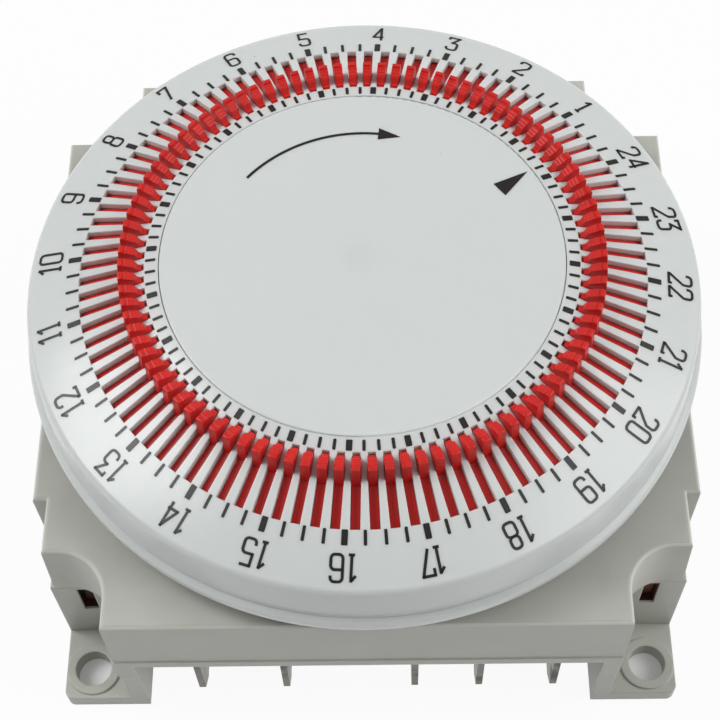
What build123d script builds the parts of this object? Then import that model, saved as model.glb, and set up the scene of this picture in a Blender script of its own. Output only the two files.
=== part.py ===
from build123d import *
import os
from math import acos, atan2, cos, degrees, pi, radians, sin, tan

# A 24-hour time switch: a square case with four screw ears, push-on terminals at the front,
# and a large programming dial with 96 quarter-hour tappets. Lengths are millimetres.
# The dial turns about Z, the ears stand on z = 0, and the terminals are on the -Y side.

# Case
case_half = 38.0
notch_x = 29.2
notch_y = 28.7
wall = 1.6
seam_z = 16.3
cover_top_z = 26.8
cover_corner_radius = 5.5
base_corner_radius = 1.0
cover_front_half = 36.4
cover_seam_half = 36.8
base_front_half = 37.3
cover_step_y = -22.2
cover_set_back = 0.15
floor_thickness = 2.0
top_edge_radius = 0.5
seam_chamfer = 0.1
dust_ring_radius = 36.0
dust_ring_wall = 1.2
dust_ring_height = 2.7
bearing_boss_radius = 3.2
bearing_boss_drop = 1.4
collar_room = 0.6
sleeve_room = 0.5

# Screw ears
ear_thickness = 2.3
ear_reach_x = 37.3
ear_reach_y = 37.5
ear_corner_radius = 1.0
hole_x = 34.0
hole_y = 33.8
ear_hole_radius = 2.2
ear_boss_radius = 3.25
ear_boss_height = 0.3

# Terminal bay under the front wall
bay_half = 27.05
bay_back_y = -28.0
bay_roof_z = 14.8
bay_roof_thickness = 1.1
leg_line_z = 10.6
leg_line_depth = 0.5

# Snap hooks that hold the cover on the base
hook_x = 33.4
window_width = 1.8
window_low_z = 9.6
window_high_z = 15.7
hook_thickness = 1.0
hook_gap = 0.2
hook_root_height = 2.4
hook_root_lift = 0.3
hook_root_overlap = 0.2
hook_side = 0.4
hook_tail = 1.2
nub_recess = 1.2
nub_gap = 0.1

# Dial
mark_plane_z = 39.5
mark_radius = 33.0
cone_angle = 18.1
dial_inner_radius = 22.95
dial_inner_z = 42.6
cone_start_radius = 24.4
shoulder_radius = 38.5
shoulder_edge_radius = 0.35
dial_skirt_radius = 38.8
dial_wall = 1.4
dial_plate = 1.6
lip_radius = 39.55
lip_low_z = 30.3
lip_high_z = 31.8
lip_slope = 0.4
lip_edge_radius = 0.3
web_inner_radius = 17.0
web_outer_radius = 24.9
web_low_z = 39.5
web_high_z = 40.9
quarter_count = 96
quarter_angle = 360 / quarter_count
hour_zero_angle = 26.55
slot_inner_radius = 24.5
slot_outer_radius = 32.2
slot_width = 1.08

# Tappets on their wire ring
wire_ring_radius = 28.35
wire_depth = 5.0
wire_radius = 0.45
wire_play = 0.05
tappet_half = 0.47
tappet_toe_half = 0.37
tappet_toe_radius = 24.7
toe_depth = 0.3
toe_rise = 0.05
toe_ledge = 0.45
step_run = 0.35
step_rise = 0.7
head_full_radius = 25.6
crest_radius = 27.0
crest_rise = 2.4
crest_inner = 0.12
crest_outer = 0.2
wing_start_radius = 28.0
wing_end_radius = 31.5
wing_thickness = 0.8
slot_floor_depth = 1.0
tappet_trim = 0.1
tappet_hub_radius = 1.1
tail_half = 0.6
tail_length = 3.1
ridge_count = 4
ridge_first_share = 0.2
ridge_step_share = 0.2
ridge_width = 0.2
ridge_depth = 0.06
carrier_inner_radius = 25.0
carrier_outer_radius = 34.4
carrier_low_z = 35.2
pocket_inner_radius = 25.35
pocket_outer_radius = 33.2
carrier_gap = 0.1
groove_gap = 0.08

# Pointer disc, post and hub
disc_radius = 22.8
disc_top_z = 42.65
disc_thickness = 1.2
disc_edge_radius = 0.2
post_radius = 4.0
post_collar_radius = 5.6
post_collar_low_z = 28.9
post_collar_high_z = 30.4
post_flange_radius = 7.0
post_flange_height = 1.5
post_stud_radius = 2.0
post_stud_sink = 0.4
post_tail_radius = 3.0
disc_play = 0.05
clip_low_z = 40.45
clip_high_z = 41.1
clip_groove_radius = 3.3
clip_radius = 5.4
clip_mouth = 3.6
clip_play = 0.05
hub_bore_radius = 4.05
hub_sleeve_radius = 6.4
hub_low_z = 30.5
hub_high_z = 40.4
hub_plate_radius = 19.5
hub_plate_thickness = 1.6
hub_boss_radius = 9.0
hub_screw_ring = 18.2
hub_screw_count = 3
hub_screw_radius = 0.9
hub_screw_head_radius = 1.6
hub_screw_head_height = 0.45
hub_screw_length = 2.9

# Gear train
dial_gear_teeth = 80
dial_gear_module = 0.5
pinion_teeth = 10
wheel_teeth = 50
wheel_module = 0.4
wheel_addendum = 0.6
pinion_addendum = 0.8
tooth_dedendum = 1.2
pressure_angle = 20.0
backlash_share = 0.14
dial_gear_low_z = 30.9
dial_gear_high_z = 33.0
dial_gear_hole_ring = 14.0
dial_gear_hole_radius = 3.0
dial_gear_hole_count = 6
dial_pinion_overhang = 0.3
clutch_thickness = 0.6
clutch_notch_length = 2.4
clutch_notch_width = 1.2
clutch_notch_count = 6
arbor_radius = 1.0
arbor_overhang = 0.8
arbor_lift = 0.2
shaft_chamfer = 0.25
running_gap = 0.03
arbor_angle = 152.2
wheel_boss_radius = 2.4
wheel_boss_height = 1.0
wheel_hole_ring = 6.2
wheel_hole_radius = 1.8
wheel_hole_count = 5
motor_pinion_overhang = 0.6
motor_x = -8.0
motor_y = 12.0
motor_radius = 17.0
motor_low_z = 2.5
motor_high_z = 16.0
motor_edge_radius = 0.8
motor_boss_radius = 4.0
motor_boss_gap = 0.1
motor_lug_reach = 20.5
motor_lug_radius = 3.2
motor_lug_low_z = 15.1
motor_well_z = 10.0
motor_shaft_low_z = 10.5
motor_shaft_high_z = 22.6
motor_shaft_hole_radius = 2.5
solder_lug_half = 1.2
solder_lug_length = 6.0
solder_lug_height = 1.5
solder_overlap = 2.0
wheel_low_z = 19.8
wheel_high_z = 21.3

# Mechanism plate
plate_low_z = 17.0
plate_thickness = 1.2
plate_half_x = 34.0
plate_front_y = -25.5
plate_back_y = 25.5
pillar_x = 31.0
pillar_y = 20.5
pillar_radius = 3.0
screw_radius = 1.2
screw_play = 0.05
screw_head_radius = 2.4
screw_head_height = 1.2
plate_screw_length = 7.0
plate_screw_depth = 8.0
motor_screw_length = 3.0
slot_drive_width = 0.6
slot_drive_depth = 0.5

# Switch
feeler_angle = 30.0
feeler_radius = 25.3
feeler_half = 0.6
feeler_top_z = 35.0
lever_x = 30.0
lever_y = -6.0
lever_sleeve_radius = 2.6
lever_pin_radius = 1.0
lever_pin_head_radius = 1.8
lever_pin_head_height = 0.5
lever_play = 0.1
sleeve_lift = 0.15
arm_eye_wall = 1.2
lever_arm_low_z = 27.8
lever_arm_high_z = 29.3
lever_arm_width = 3.0
nose_x = 18.5
nose_y = -8.0
nose_radius = 1.3
switch_low_z = 20.5
switch_high_z = 23.0
slider_width = 2.4
slider_front_y = -21.35
slider_play = 0.05
slider_chamfer = 0.3
guide_front_y = -18.5
guide_back_y = -11.5
guide_thickness = 1.2
guide_gap = 0.15
guide_floor_gap = 0.1
blade_root_x = 6.5
blade_overlap = 0.4
blade_end_x = 27.0
blade_y = -21.6
blade_thickness = 0.3
blade_low_z = 20.2
blade_high_z = 23.8
contact_x = 26.0
contact_radius = 1.3
contact_height = 0.5
contact_shank_radius = 0.8
contact_plate_reach = 2.0
open_contact_y = -24.15
closed_contact_y = -20.85

# Terminals
tab_thickness = 0.8
tab_width = 6.3
tab_front_y = -36.3
tab_tip_z = 0.6
tab_tip_chamfer = 2.0
tab_hole_radius = 0.85
tab_hole_z = 5.0
tab_play = 0.05
tab_shoulder = 1.0
line_tab_x = -20.4
neutral_tab_x = -10.1
common_tab_x = 5.5
open_tab_x = 13.3
closed_tab_x = 22.3
strip_low_z = 16.0
strip_high_z = 16.9
line_strip_end_y = -1.0
neutral_strip_end_y = -6.0
common_plate_end_y = -21.0
bridge_gap = 0.1
bridge_end_x = 24.5
riser_start_x = 23.5

plate_high_z = plate_low_z + plate_thickness
screw_hole_radius = screw_radius + screw_play
contact_z = (blade_low_z + blade_high_z) / 2
dial_gear_radius = dial_gear_teeth * dial_gear_module / 2
dial_pinion_radius = pinion_teeth * dial_gear_module / 2
arbor_distance = dial_gear_radius + dial_pinion_radius
arbor_x = arbor_distance * cos(radians(arbor_angle))
arbor_y = arbor_distance * sin(radians(arbor_angle))
first_slot_angle = hour_zero_angle + quarter_angle / 2
cone_slope = tan(radians(cone_angle))
far = 200.0
past = 1.0
join = 0.2
slot_cut_height = 14.0

os.makedirs("parts", exist_ok=True)


def cone_z(radius):
    """Height of the dial's printed cone at a radius."""
    return mark_plane_z + (mark_radius - radius) * cone_slope


def save(piece, name):
    """Label a finished piece and write it as its own node."""
    piece.part.label = name
    export_step(piece.part, f"parts/{name}.step")


def notched_square(half_x, half_y, inset, corner_radius):
    """Draw, in the open sketch, a rectangle with notched corners, the notch edges moved in by inset."""
    Rectangle(2 * half_x, 2 * half_y)
    cut_x = 2 * (case_half - notch_x + inset)
    cut_y = 2 * (case_half - notch_y + inset)
    with GridLocations(2 * case_half, 2 * case_half, 2, 2):
        RectangleRounded(cut_x, cut_y, corner_radius, mode=Mode.SUBTRACT)


def block(low, high, mode=Mode.ADD):
    """Add a box between two corners to the open part."""
    size = [b - a for a, b in zip(low, high)]
    with Locations(tuple((a + b) / 2 for a, b in zip(low, high))):
        Box(*size, mode=mode)


def drum(radius, low_z, high_z, x=0.0, y=0.0, mode=Mode.ADD):
    """Add an upright cylinder to the open part."""
    with Locations((x, y, (low_z + high_z) / 2)):
        Cylinder(radius, high_z - low_z, mode=mode)


def turned(points):
    """Revolve a closed outline of (radius, height) points about Z in the open part."""
    with BuildSketch(Plane.XZ) as section:
        Polygon(*points, align=None)
    revolve(section.sketch, axis=Axis.Z)


def gear_outline(teeth, module, addendum, first_tooth):
    """Outline points of a spur gear with one tooth centred at first_tooth degrees."""
    pitch = teeth * module / 2
    base = pitch * cos(radians(pressure_angle))
    root = pitch - tooth_dedendum * module
    tip = pitch + addendum * module

    def involute(angle):
        return tan(angle) - angle

    def half_tooth(radius):
        at_pitch = pi / (2 * teeth) * (1 - backlash_share)
        return at_pitch + involute(radians(pressure_angle)) - involute(acos(min(1, base / radius)))

    flank = sorted({root, max(base, root), pitch, tip})
    outline = []
    for tooth in range(teeth):
        middle = radians(first_tooth) + 2 * pi * tooth / teeth
        rising = [(radius, middle - half_tooth(radius)) for radius in flank]
        falling = [(radius, middle + half_tooth(radius)) for radius in reversed(flank)]
        outline += [(radius * cos(a), radius * sin(a)) for radius, a in rising + falling]
    return outline


def fitted_gear(teeth, module, addendum, first_tooth, place, low_z, high_z, bore):
    """A gear in the open part, centred at place."""
    with BuildSketch(Plane((place[0], place[1], low_z))) as outline:
        Polygon(*gear_outline(teeth, module, addendum, first_tooth), align=None)
        Circle(bore, mode=Mode.SUBTRACT)
    extrude(outline.sketch, amount=high_z - low_z)


def slotted_screw(x, y, head_low_z, shank_radius, head_radius, head_height, length, up=True):
    """A pan-head screw in the open part; the head is above the shank when up is true."""
    way = 1 if up else -1
    head_top = head_low_z + way * head_height
    drum(head_radius, min(head_low_z, head_top), max(head_low_z, head_top), x, y)
    tip = head_low_z - way * length
    drum(shank_radius, min(head_low_z, tip), max(head_low_z, tip), x, y)
    slot_low = min(head_top, head_top - way * slot_drive_depth)
    block((x - head_radius, y - slot_drive_width / 2, slot_low),
          (x + head_radius, y + slot_drive_width / 2, slot_low + slot_drive_depth), Mode.SUBTRACT)


def each_corner(x, y):
    """The four mirror images of a point."""
    return [(sx * x, sy * y) for sx in (-1, 1) for sy in (-1, 1)]


def narrow_front(low_half, low_z, high_half, high_z):
    """Cut both sides of the front of the open part back to one half width below and another above."""
    with BuildSketch(Plane.XZ.offset(-cover_step_y)) as sides:
        for side in (-1, 1):
            Polygon((side * low_half, low_z), (side * far, low_z), (side * far, high_z),
                    (side * high_half, high_z), align=None)
    extrude(sides.sketch, amount=far, mode=Mode.SUBTRACT)


# Base: a tray with ears, a raised terminal bay at the front and pillars for the mechanism
with BuildPart() as base_housing:
    with BuildSketch():
        notched_square(case_half, case_half, 0, base_corner_radius)
    extrude(amount=seam_z)
    narrow_front(base_front_half, 0, base_front_half, seam_z)
    chamfer(base_housing.faces().sort_by(Axis.Z)[-1].outer_wire().edges(), seam_chamfer)
    with BuildSketch(Plane.XY.offset(floor_thickness)):
        notched_square(base_front_half - wall, case_half - wall, wall, base_corner_radius + wall)
    extrude(amount=seam_z, mode=Mode.SUBTRACT)
    block((-notch_x, wall / 2 - case_half, 0),
          (notch_x, bay_back_y + wall, bay_roof_z + bay_roof_thickness))
    block((-bay_half, -far, -past), (bay_half, bay_back_y, bay_roof_z), Mode.SUBTRACT)
    for side in (-1, 1):
        leg_inner, leg_outer = sorted((side * bay_half, side * notch_x))
        block((leg_inner, -far, -past), (leg_outer, leg_line_depth - case_half, leg_line_z),
              Mode.SUBTRACT)
    with BuildSketch():
        for sx, sy in each_corner(1, 1):
            low_x, low_y = notch_x - wall, notch_y - wall
            with Locations((sx * (low_x + ear_reach_x) / 2, sy * (low_y + ear_reach_y) / 2)):
                RectangleRounded(ear_reach_x - low_x, ear_reach_y - low_y, ear_corner_radius)
    extrude(amount=ear_thickness)
    for x, y in each_corner(hole_x, hole_y):
        drum(ear_boss_radius, 0, ear_thickness + ear_boss_height, x, y)
        drum(ear_hole_radius, -past, ear_thickness + past, x, y, Mode.SUBTRACT)
    for x, y in each_corner(hook_x, notch_y):
        block((x - window_width / 2, y - wall - join, window_low_z),
              (x + window_width / 2, y + wall + join, window_high_z), Mode.SUBTRACT)
    for x, y in each_corner(pillar_x, pillar_y):
        drum(pillar_radius, floor_thickness, plate_low_z, x, y)
        drum(screw_hole_radius, plate_low_z - plate_screw_depth, plate_low_z + past, x, y, Mode.SUBTRACT)
    for x in (line_tab_x, neutral_tab_x, common_tab_x, open_tab_x, closed_tab_x):
        tab_slot_half = tab_thickness / 2 + tab_play
        block((x - tab_slot_half, tab_front_y - tab_play, bay_roof_z - past),
              (x + tab_slot_half, tab_front_y + tab_width + tab_play, seam_z), Mode.SUBTRACT)
save(base_housing, "base_housing")

# Cover: a shallow box with rounded corner notches, a low dust ring and four snap hooks
with BuildPart() as top_cover:
    with BuildSketch(Plane.XY.offset(seam_z)):
        notched_square(case_half, case_half, 0, cover_corner_radius)
        with Locations((0, cover_set_back - case_half)):
            Rectangle(far, far, align=(Align.CENTER, Align.MAX), mode=Mode.SUBTRACT)
    extrude(amount=cover_top_z - seam_z)
    narrow_front(cover_seam_half, seam_z, cover_front_half, cover_top_z)
    fillet(top_cover.faces().sort_by(Axis.Z)[-1].outer_wire().edges(), top_edge_radius)
    with BuildSketch(Plane.XY.offset(seam_z)):
        notched_square(cover_front_half - wall, case_half - wall, wall, cover_corner_radius + wall)
    extrude(amount=cover_top_z - wall - seam_z, mode=Mode.SUBTRACT)
    with BuildSketch(Plane.XY.offset(cover_top_z)):
        Circle(dust_ring_radius)
        Circle(dust_ring_radius - dust_ring_wall, mode=Mode.SUBTRACT)
    extrude(amount=dust_ring_height)
    cut_top_z = cover_top_z + past
    drum(bearing_boss_radius, cover_top_z - wall - bearing_boss_drop, cover_top_z, arbor_x, arbor_y)
    drum(arbor_radius + running_gap, seam_z, cut_top_z, arbor_x, arbor_y, Mode.SUBTRACT)
    drum(post_collar_radius + collar_room, seam_z, cut_top_z, mode=Mode.SUBTRACT)
    drum(lever_sleeve_radius + sleeve_room, seam_z, cut_top_z, lever_x, lever_y, Mode.SUBTRACT)
    for x, y in each_corner(hook_x, notch_y):
        side = 1 if y > 0 else -1
        inner = y - side * (wall + hook_gap + hook_thickness)
        outer = y - side * (wall + hook_gap)
        root = y - side * (wall - hook_root_overlap)
        nub = y - side * nub_recess
        nub_half = window_width / 2 - nub_gap
        hook_half = nub_half + hook_side
        hook_high_z = seam_z + hook_root_height
        low_y, high_y = sorted((inner, outer))
        block((x - hook_half, low_y, window_low_z - hook_tail), (x + hook_half, high_y, hook_high_z))
        low_y, high_y = sorted((inner, root))
        block((x - hook_half, low_y, seam_z + hook_root_lift), (x + hook_half, high_y, hook_high_z))
        low_y, high_y = sorted((inner, nub))
        block((x - nub_half, low_y, window_low_z + nub_gap), (x + nub_half, high_y, window_high_z - nub_gap))
save(top_cover, "top_cover")

# Mechanism plate: carries the motor, the arbor, the lever pin and the slider guide
with BuildPart() as mechanism_plate:
    block((-plate_half_x, plate_front_y, plate_low_z), (plate_half_x, plate_back_y, plate_high_z))
    plate_holes = [(screw_hole_radius, x, y) for x, y in each_corner(pillar_x, pillar_y)]
    plate_holes += [(screw_hole_radius, motor_x + side * motor_lug_reach, motor_y) for side in (-1, 1)]
    plate_holes += [
        (motor_shaft_hole_radius, motor_x, motor_y),
        (arbor_radius + running_gap, arbor_x, arbor_y),
        (lever_pin_radius, lever_x, lever_y),
        (post_tail_radius, 0, 0),
    ]
    for radius, x, y in plate_holes:
        drum(radius, plate_low_z - past, plate_high_z + past, x, y, Mode.SUBTRACT)
    channel_half = slider_width / 2 + guide_gap
    for side in (-1, 1):
        near_x = nose_x + side * channel_half
        low_x, high_x = sorted((near_x, near_x + side * guide_thickness))
        block((low_x, guide_front_y, plate_high_z - join), (high_x, guide_back_y, switch_high_z))
    block((nose_x - channel_half, guide_front_y, plate_high_z - join),
          (nose_x + channel_half, guide_back_y, switch_low_z - guide_floor_gap))
save(mechanism_plate, "mechanism_plate")

with BuildPart() as plate_screws:
    for x, y in each_corner(pillar_x, pillar_y):
        slotted_screw(x, y, plate_high_z, screw_radius, screw_head_radius, screw_head_height,
                      plate_screw_length)
save(plate_screws, "plate_screws")

# Motor: a sealed synchronous gear motor hung under the plate by two lugs
with BuildPart() as motor:
    drum(motor_radius, motor_low_z, motor_high_z, motor_x, motor_y)
    fillet(motor.edges().filter_by(GeomType.CIRCLE), motor_edge_radius)
    drum(motor_boss_radius, motor_high_z - past, plate_low_z - motor_boss_gap, motor_x, motor_y)
    with BuildSketch(Plane.XY.offset(motor_lug_low_z)):
        with Locations((motor_x, motor_y)):
            SlotCenterToCenter(2 * motor_lug_reach, 2 * motor_lug_radius)
    extrude(amount=plate_low_z - motor_lug_low_z)
    for side in (-1, 1):
        drum(screw_hole_radius, motor_lug_low_z - past, plate_low_z + past,
             motor_x + side * motor_lug_reach, motor_y, Mode.SUBTRACT)
    drum(arbor_radius + running_gap, motor_well_z, plate_low_z + past, motor_x, motor_y, Mode.SUBTRACT)
    for x, strip_end_y in ((line_tab_x, line_strip_end_y), (neutral_tab_x, neutral_strip_end_y)):
        lug_front_y = strip_end_y - solder_overlap
        block((x - solder_lug_half, lug_front_y, strip_low_z - solder_lug_height),
              (x + solder_lug_half, lug_front_y + solder_lug_length, strip_low_z))
save(motor, "motor")

with BuildPart() as motor_screws:
    for side in (-1, 1):
        slotted_screw(motor_x + side * motor_lug_reach, motor_y, motor_lug_low_z, screw_radius,
                      screw_head_radius, screw_head_height, motor_screw_length, up=False)
save(motor_screws, "motor_screws")

# Output shaft and pinion of the motor, in mesh with the wheel on the arbor
wheel_tooth_angle = degrees(atan2(motor_y - arbor_y, motor_x - arbor_x))
facing_gap = 180 + 180 / pinion_teeth
with BuildPart() as motor_shaft:
    drum(arbor_radius, motor_shaft_low_z, motor_shaft_high_z, motor_x, motor_y)
    chamfer(motor_shaft.edges().sort_by(Axis.Z)[-1], shaft_chamfer)
save(motor_shaft, "motor_shaft")

with BuildPart() as motor_pinion:
    fitted_gear(pinion_teeth, wheel_module, pinion_addendum, wheel_tooth_angle + facing_gap,
                (motor_x, motor_y), wheel_low_z - motor_pinion_overhang,
                wheel_high_z + motor_pinion_overhang, arbor_radius)
save(motor_pinion, "motor_pinion")

# Arbor with its wheel below the cover and its pinion under the dial
with BuildPart() as arbor:
    drum(arbor_radius, plate_low_z + arbor_lift, dial_gear_high_z + arbor_overhang, arbor_x, arbor_y)
    chamfer(arbor.edges().sort_by(Axis.Z)[-1], shaft_chamfer)
save(arbor, "arbor")

with BuildPart() as arbor_wheel:
    fitted_gear(wheel_teeth, wheel_module, wheel_addendum, wheel_tooth_angle, (arbor_x, arbor_y),
                wheel_low_z, wheel_high_z, arbor_radius)
    drum(wheel_boss_radius, wheel_low_z - wheel_boss_height, wheel_low_z, arbor_x, arbor_y)
    drum(arbor_radius, wheel_low_z - wheel_boss_height, wheel_high_z, arbor_x, arbor_y, Mode.SUBTRACT)
    with Locations((arbor_x, arbor_y, wheel_high_z)):
        with PolarLocations(wheel_hole_ring, wheel_hole_count):
            Hole(wheel_hole_radius)
save(arbor_wheel, "arbor_wheel")

with BuildPart() as dial_pinion:
    fitted_gear(pinion_teeth, dial_gear_module, pinion_addendum, arbor_angle + facing_gap,
                (arbor_x, arbor_y), dial_gear_low_z - dial_pinion_overhang,
                dial_gear_high_z + dial_pinion_overhang, arbor_radius)
save(dial_pinion, "dial_pinion")

# Fixed post through the dial, with the clip that keeps the dial on and the pointer disc on top
disc_low_z = disc_top_z - disc_thickness
post_top_z = disc_low_z - disc_play
with BuildPart() as centre_post:
    drum(post_tail_radius, plate_low_z, plate_high_z)
    drum(post_flange_radius, plate_high_z, plate_high_z + post_flange_height)
    drum(post_radius, plate_high_z, post_top_z)
    drum(post_collar_radius, post_collar_low_z, post_collar_high_z)
    with BuildSketch(Plane.XY.offset(clip_low_z)):
        Circle(post_radius + past)
        Circle(clip_groove_radius, mode=Mode.SUBTRACT)
    extrude(amount=clip_high_z - clip_low_z, mode=Mode.SUBTRACT)
    drum(post_stud_radius, post_top_z, disc_top_z - post_stud_sink)
save(centre_post, "centre_post")

with BuildPart() as post_clip:
    with BuildSketch(Plane.XY.offset(clip_low_z + clip_play)):
        Circle(clip_radius)
        Circle(clip_groove_radius, mode=Mode.SUBTRACT)
        with Locations((clip_radius, 0)):
            Rectangle(2 * clip_radius, clip_mouth, mode=Mode.SUBTRACT)
    extrude(amount=clip_high_z - clip_low_z - 2 * clip_play)
save(post_clip, "post_clip")

with BuildPart() as pointer_disc:
    drum(disc_radius, disc_low_z, disc_top_z)
    fillet(pointer_disc.edges().sort_by(Axis.Z)[-1], disc_edge_radius)
    drum(post_stud_radius, disc_low_z - past, disc_top_z - post_stud_sink + disc_play, mode=Mode.SUBTRACT)
save(pointer_disc, "pointer_disc")

# Dial ring: a shallow cone with 96 slots, a skirt and a finger lip
skirt_inner = dial_skirt_radius - dial_wall
with BuildPart() as dial_ring:
    with BuildSketch(Plane.XZ) as dial_section:
        with BuildLine():
            Polyline(
                (dial_inner_radius, dial_inner_z),
                (cone_start_radius, cone_z(cone_start_radius)),
                (shoulder_radius, cone_z(shoulder_radius)),
                (dial_skirt_radius, lip_high_z),
                (lip_radius, lip_high_z - lip_slope),
                (lip_radius, lip_low_z),
                (skirt_inner, lip_low_z),
                (skirt_inner, cone_z(skirt_inner) - dial_plate),
                (web_outer_radius, cone_z(web_outer_radius) - dial_plate),
                (web_outer_radius, web_low_z),
                (web_inner_radius, web_low_z),
                (web_inner_radius, web_high_z),
                (dial_inner_radius, web_high_z),
                close=True,
            )
        make_face()
        shoulder = (shoulder_radius, cone_z(shoulder_radius), 0)
        fillet(dial_section.vertices().sort_by_distance(shoulder)[0], shoulder_edge_radius)
        lip_edge = (lip_radius, lip_high_z - lip_slope, 0)
        fillet(dial_section.vertices().sort_by_distance(lip_edge)[0], lip_edge_radius)
    revolve(axis=Axis.Z)
    with PolarLocations(0, quarter_count, start_angle=first_slot_angle):
        with Locations(((slot_inner_radius + slot_outer_radius) / 2, 0, web_low_z)):
            Box(slot_outer_radius - slot_inner_radius, slot_width, slot_cut_height, mode=Mode.SUBTRACT)
    with PolarLocations(hub_screw_ring, hub_screw_count):
        Cylinder(hub_screw_radius + screw_play, far, mode=Mode.SUBTRACT)
save(dial_ring, "dial_ring")

# Carrier: a slotted ring under the dial that holds the wire which the tappets hang on
wire_z = cone_z(wire_ring_radius) - wire_depth
carrier_drop = dial_plate + carrier_gap
with BuildPart() as tappet_carrier:
    turned([
        (carrier_inner_radius, cone_z(carrier_inner_radius) - carrier_drop),
        (carrier_outer_radius, cone_z(carrier_outer_radius) - carrier_drop),
        (carrier_outer_radius, carrier_low_z),
        (carrier_inner_radius, carrier_low_z),
    ])
    with PolarLocations(0, quarter_count, start_angle=first_slot_angle):
        with Locations(((pocket_inner_radius + pocket_outer_radius) / 2, 0, carrier_low_z)):
            Box(pocket_outer_radius - pocket_inner_radius, slot_width, slot_cut_height, mode=Mode.SUBTRACT)
    with BuildSketch(Plane.XY.offset(carrier_low_z)):
        Circle(wire_ring_radius + wire_radius + groove_gap)
        Circle(wire_ring_radius - wire_radius - groove_gap, mode=Mode.SUBTRACT)
    extrude(amount=wire_z + wire_radius + groove_gap - carrier_low_z, mode=Mode.SUBTRACT)
save(tappet_carrier, "tappet_carrier")

with BuildPart() as tappet_wire:
    with Locations((0, 0, wire_z)):
        Torus(wire_ring_radius, wire_radius)
save(tappet_wire, "tappet_wire")

# Tappet: a thin rocker with a stepped, ridged head at the inner end of its slot, a wing that
# closes the rest of the slot, and a tail below the wire that works the switch
toe_z = cone_z(tappet_toe_radius) + toe_rise
step_radius = tappet_toe_radius + toe_ledge
ramp_foot = Vector(step_radius + step_run, toe_z + step_rise)
ramp_head = Vector(crest_radius - crest_inner, cone_z(crest_radius) + crest_rise)
ramp = ramp_head - ramp_foot
wing_end_z = cone_z(wing_end_radius) - slot_floor_depth
tail_end_z = wire_z - tail_length
plan_inner = tappet_toe_radius - tappet_trim
plan_outer = wing_end_radius + past
with BuildPart() as tappet:
    with BuildSketch(Plane.XZ):
        with BuildLine():
            Polyline(
                (tappet_toe_radius, toe_z - toe_depth),
                (tappet_toe_radius, toe_z),
                (step_radius, toe_z),
                (ramp_foot.X, ramp_foot.Y),
                (ramp_head.X, ramp_head.Y),
                (crest_radius + crest_outer, ramp_head.Y - crest_inner),
                (wing_start_radius, cone_z(wing_start_radius) - slot_floor_depth),
                (wing_end_radius, wing_end_z),
                (wing_end_radius, wing_end_z - wing_thickness),
                (wire_ring_radius + tail_half, wire_z),
                (wire_ring_radius + tail_half, tail_end_z),
                (wire_ring_radius - tail_half, tail_end_z),
                (wire_ring_radius - tail_half, wire_z),
                close=True,
            )
        make_face()
        with Locations((wire_ring_radius, wire_z)):
            Circle(tappet_hub_radius)
            Circle(wire_radius + wire_play, mode=Mode.SUBTRACT)
        for ridge in range(ridge_count):
            middle = ramp_foot + ramp * (ridge_first_share + ridge * ridge_step_share)
            with Locations(Location((middle.X, middle.Y), degrees(atan2(ramp.Y, ramp.X)))):
                Rectangle(ridge_width, 2 * ridge_depth, mode=Mode.SUBTRACT)
    extrude(amount=tappet_half, both=True)
    with BuildSketch():
        with BuildLine():
            Polyline((head_full_radius, tappet_half), (plan_outer, tappet_half),
                     (plan_outer, -tappet_half), (head_full_radius, -tappet_half))
            TangentArc((head_full_radius, tappet_half), (plan_inner, tappet_toe_half), tangent=(-1, 0))
            TangentArc((head_full_radius, -tappet_half), (plan_inner, -tappet_toe_half), tangent=(-1, 0))
            Line((plan_inner, tappet_toe_half), (plan_inner, -tappet_toe_half))
        make_face()
    extrude(amount=2 * mark_plane_z, mode=Mode.INTERSECT)

other_tappets = []
for quarter in range(quarter_count):
    turned_tappet = Rot(0, 0, first_slot_angle + quarter * quarter_angle) * tappet.part
    if quarter % 4:
        other_tappets.append(turned_tappet)
        continue
    with BuildPart() as hour_tappet:
        add(turned_tappet)
    save(hour_tappet, f"tappet_hour_{quarter // 4:02d}")

with BuildPart() as quarter_tappets:
    add(Compound(children=other_tappets))
save(quarter_tappets, "quarter_tappets")

# Hub, gear and slipping clutch that carry the dial on the post
with BuildPart() as dial_hub:
    hub_plate_low = web_low_z - hub_plate_thickness
    boss_low = dial_gear_high_z + clutch_thickness
    turned([
        (hub_bore_radius, hub_low_z),
        (hub_sleeve_radius, hub_low_z),
        (hub_sleeve_radius, boss_low),
        (hub_boss_radius, boss_low),
        (hub_boss_radius, hub_plate_low),
        (hub_plate_radius, hub_plate_low),
        (hub_plate_radius, web_low_z),
        (hub_sleeve_radius, web_low_z),
        (hub_sleeve_radius, hub_high_z),
        (hub_bore_radius, hub_high_z),
    ])
    with PolarLocations(hub_screw_ring, hub_screw_count):
        Cylinder(hub_screw_radius + screw_play, far, mode=Mode.SUBTRACT)
save(dial_hub, "dial_hub")

with BuildPart() as hub_screws:
    for number in range(hub_screw_count):
        angle = radians(360 / hub_screw_count * number)
        slotted_screw(hub_screw_ring * cos(angle), hub_screw_ring * sin(angle), web_high_z,
                      hub_screw_radius, hub_screw_head_radius, hub_screw_head_height, hub_screw_length)
save(hub_screws, "hub_screws")

with BuildPart() as dial_gear:
    fitted_gear(dial_gear_teeth, dial_gear_module, wheel_addendum, arbor_angle, (0, 0), dial_gear_low_z,
                dial_gear_high_z, hub_sleeve_radius)
    with Locations((0, 0, dial_gear_high_z)):
        with PolarLocations(dial_gear_hole_ring, dial_gear_hole_count):
            Hole(dial_gear_hole_radius)
save(dial_gear, "dial_gear")

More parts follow.
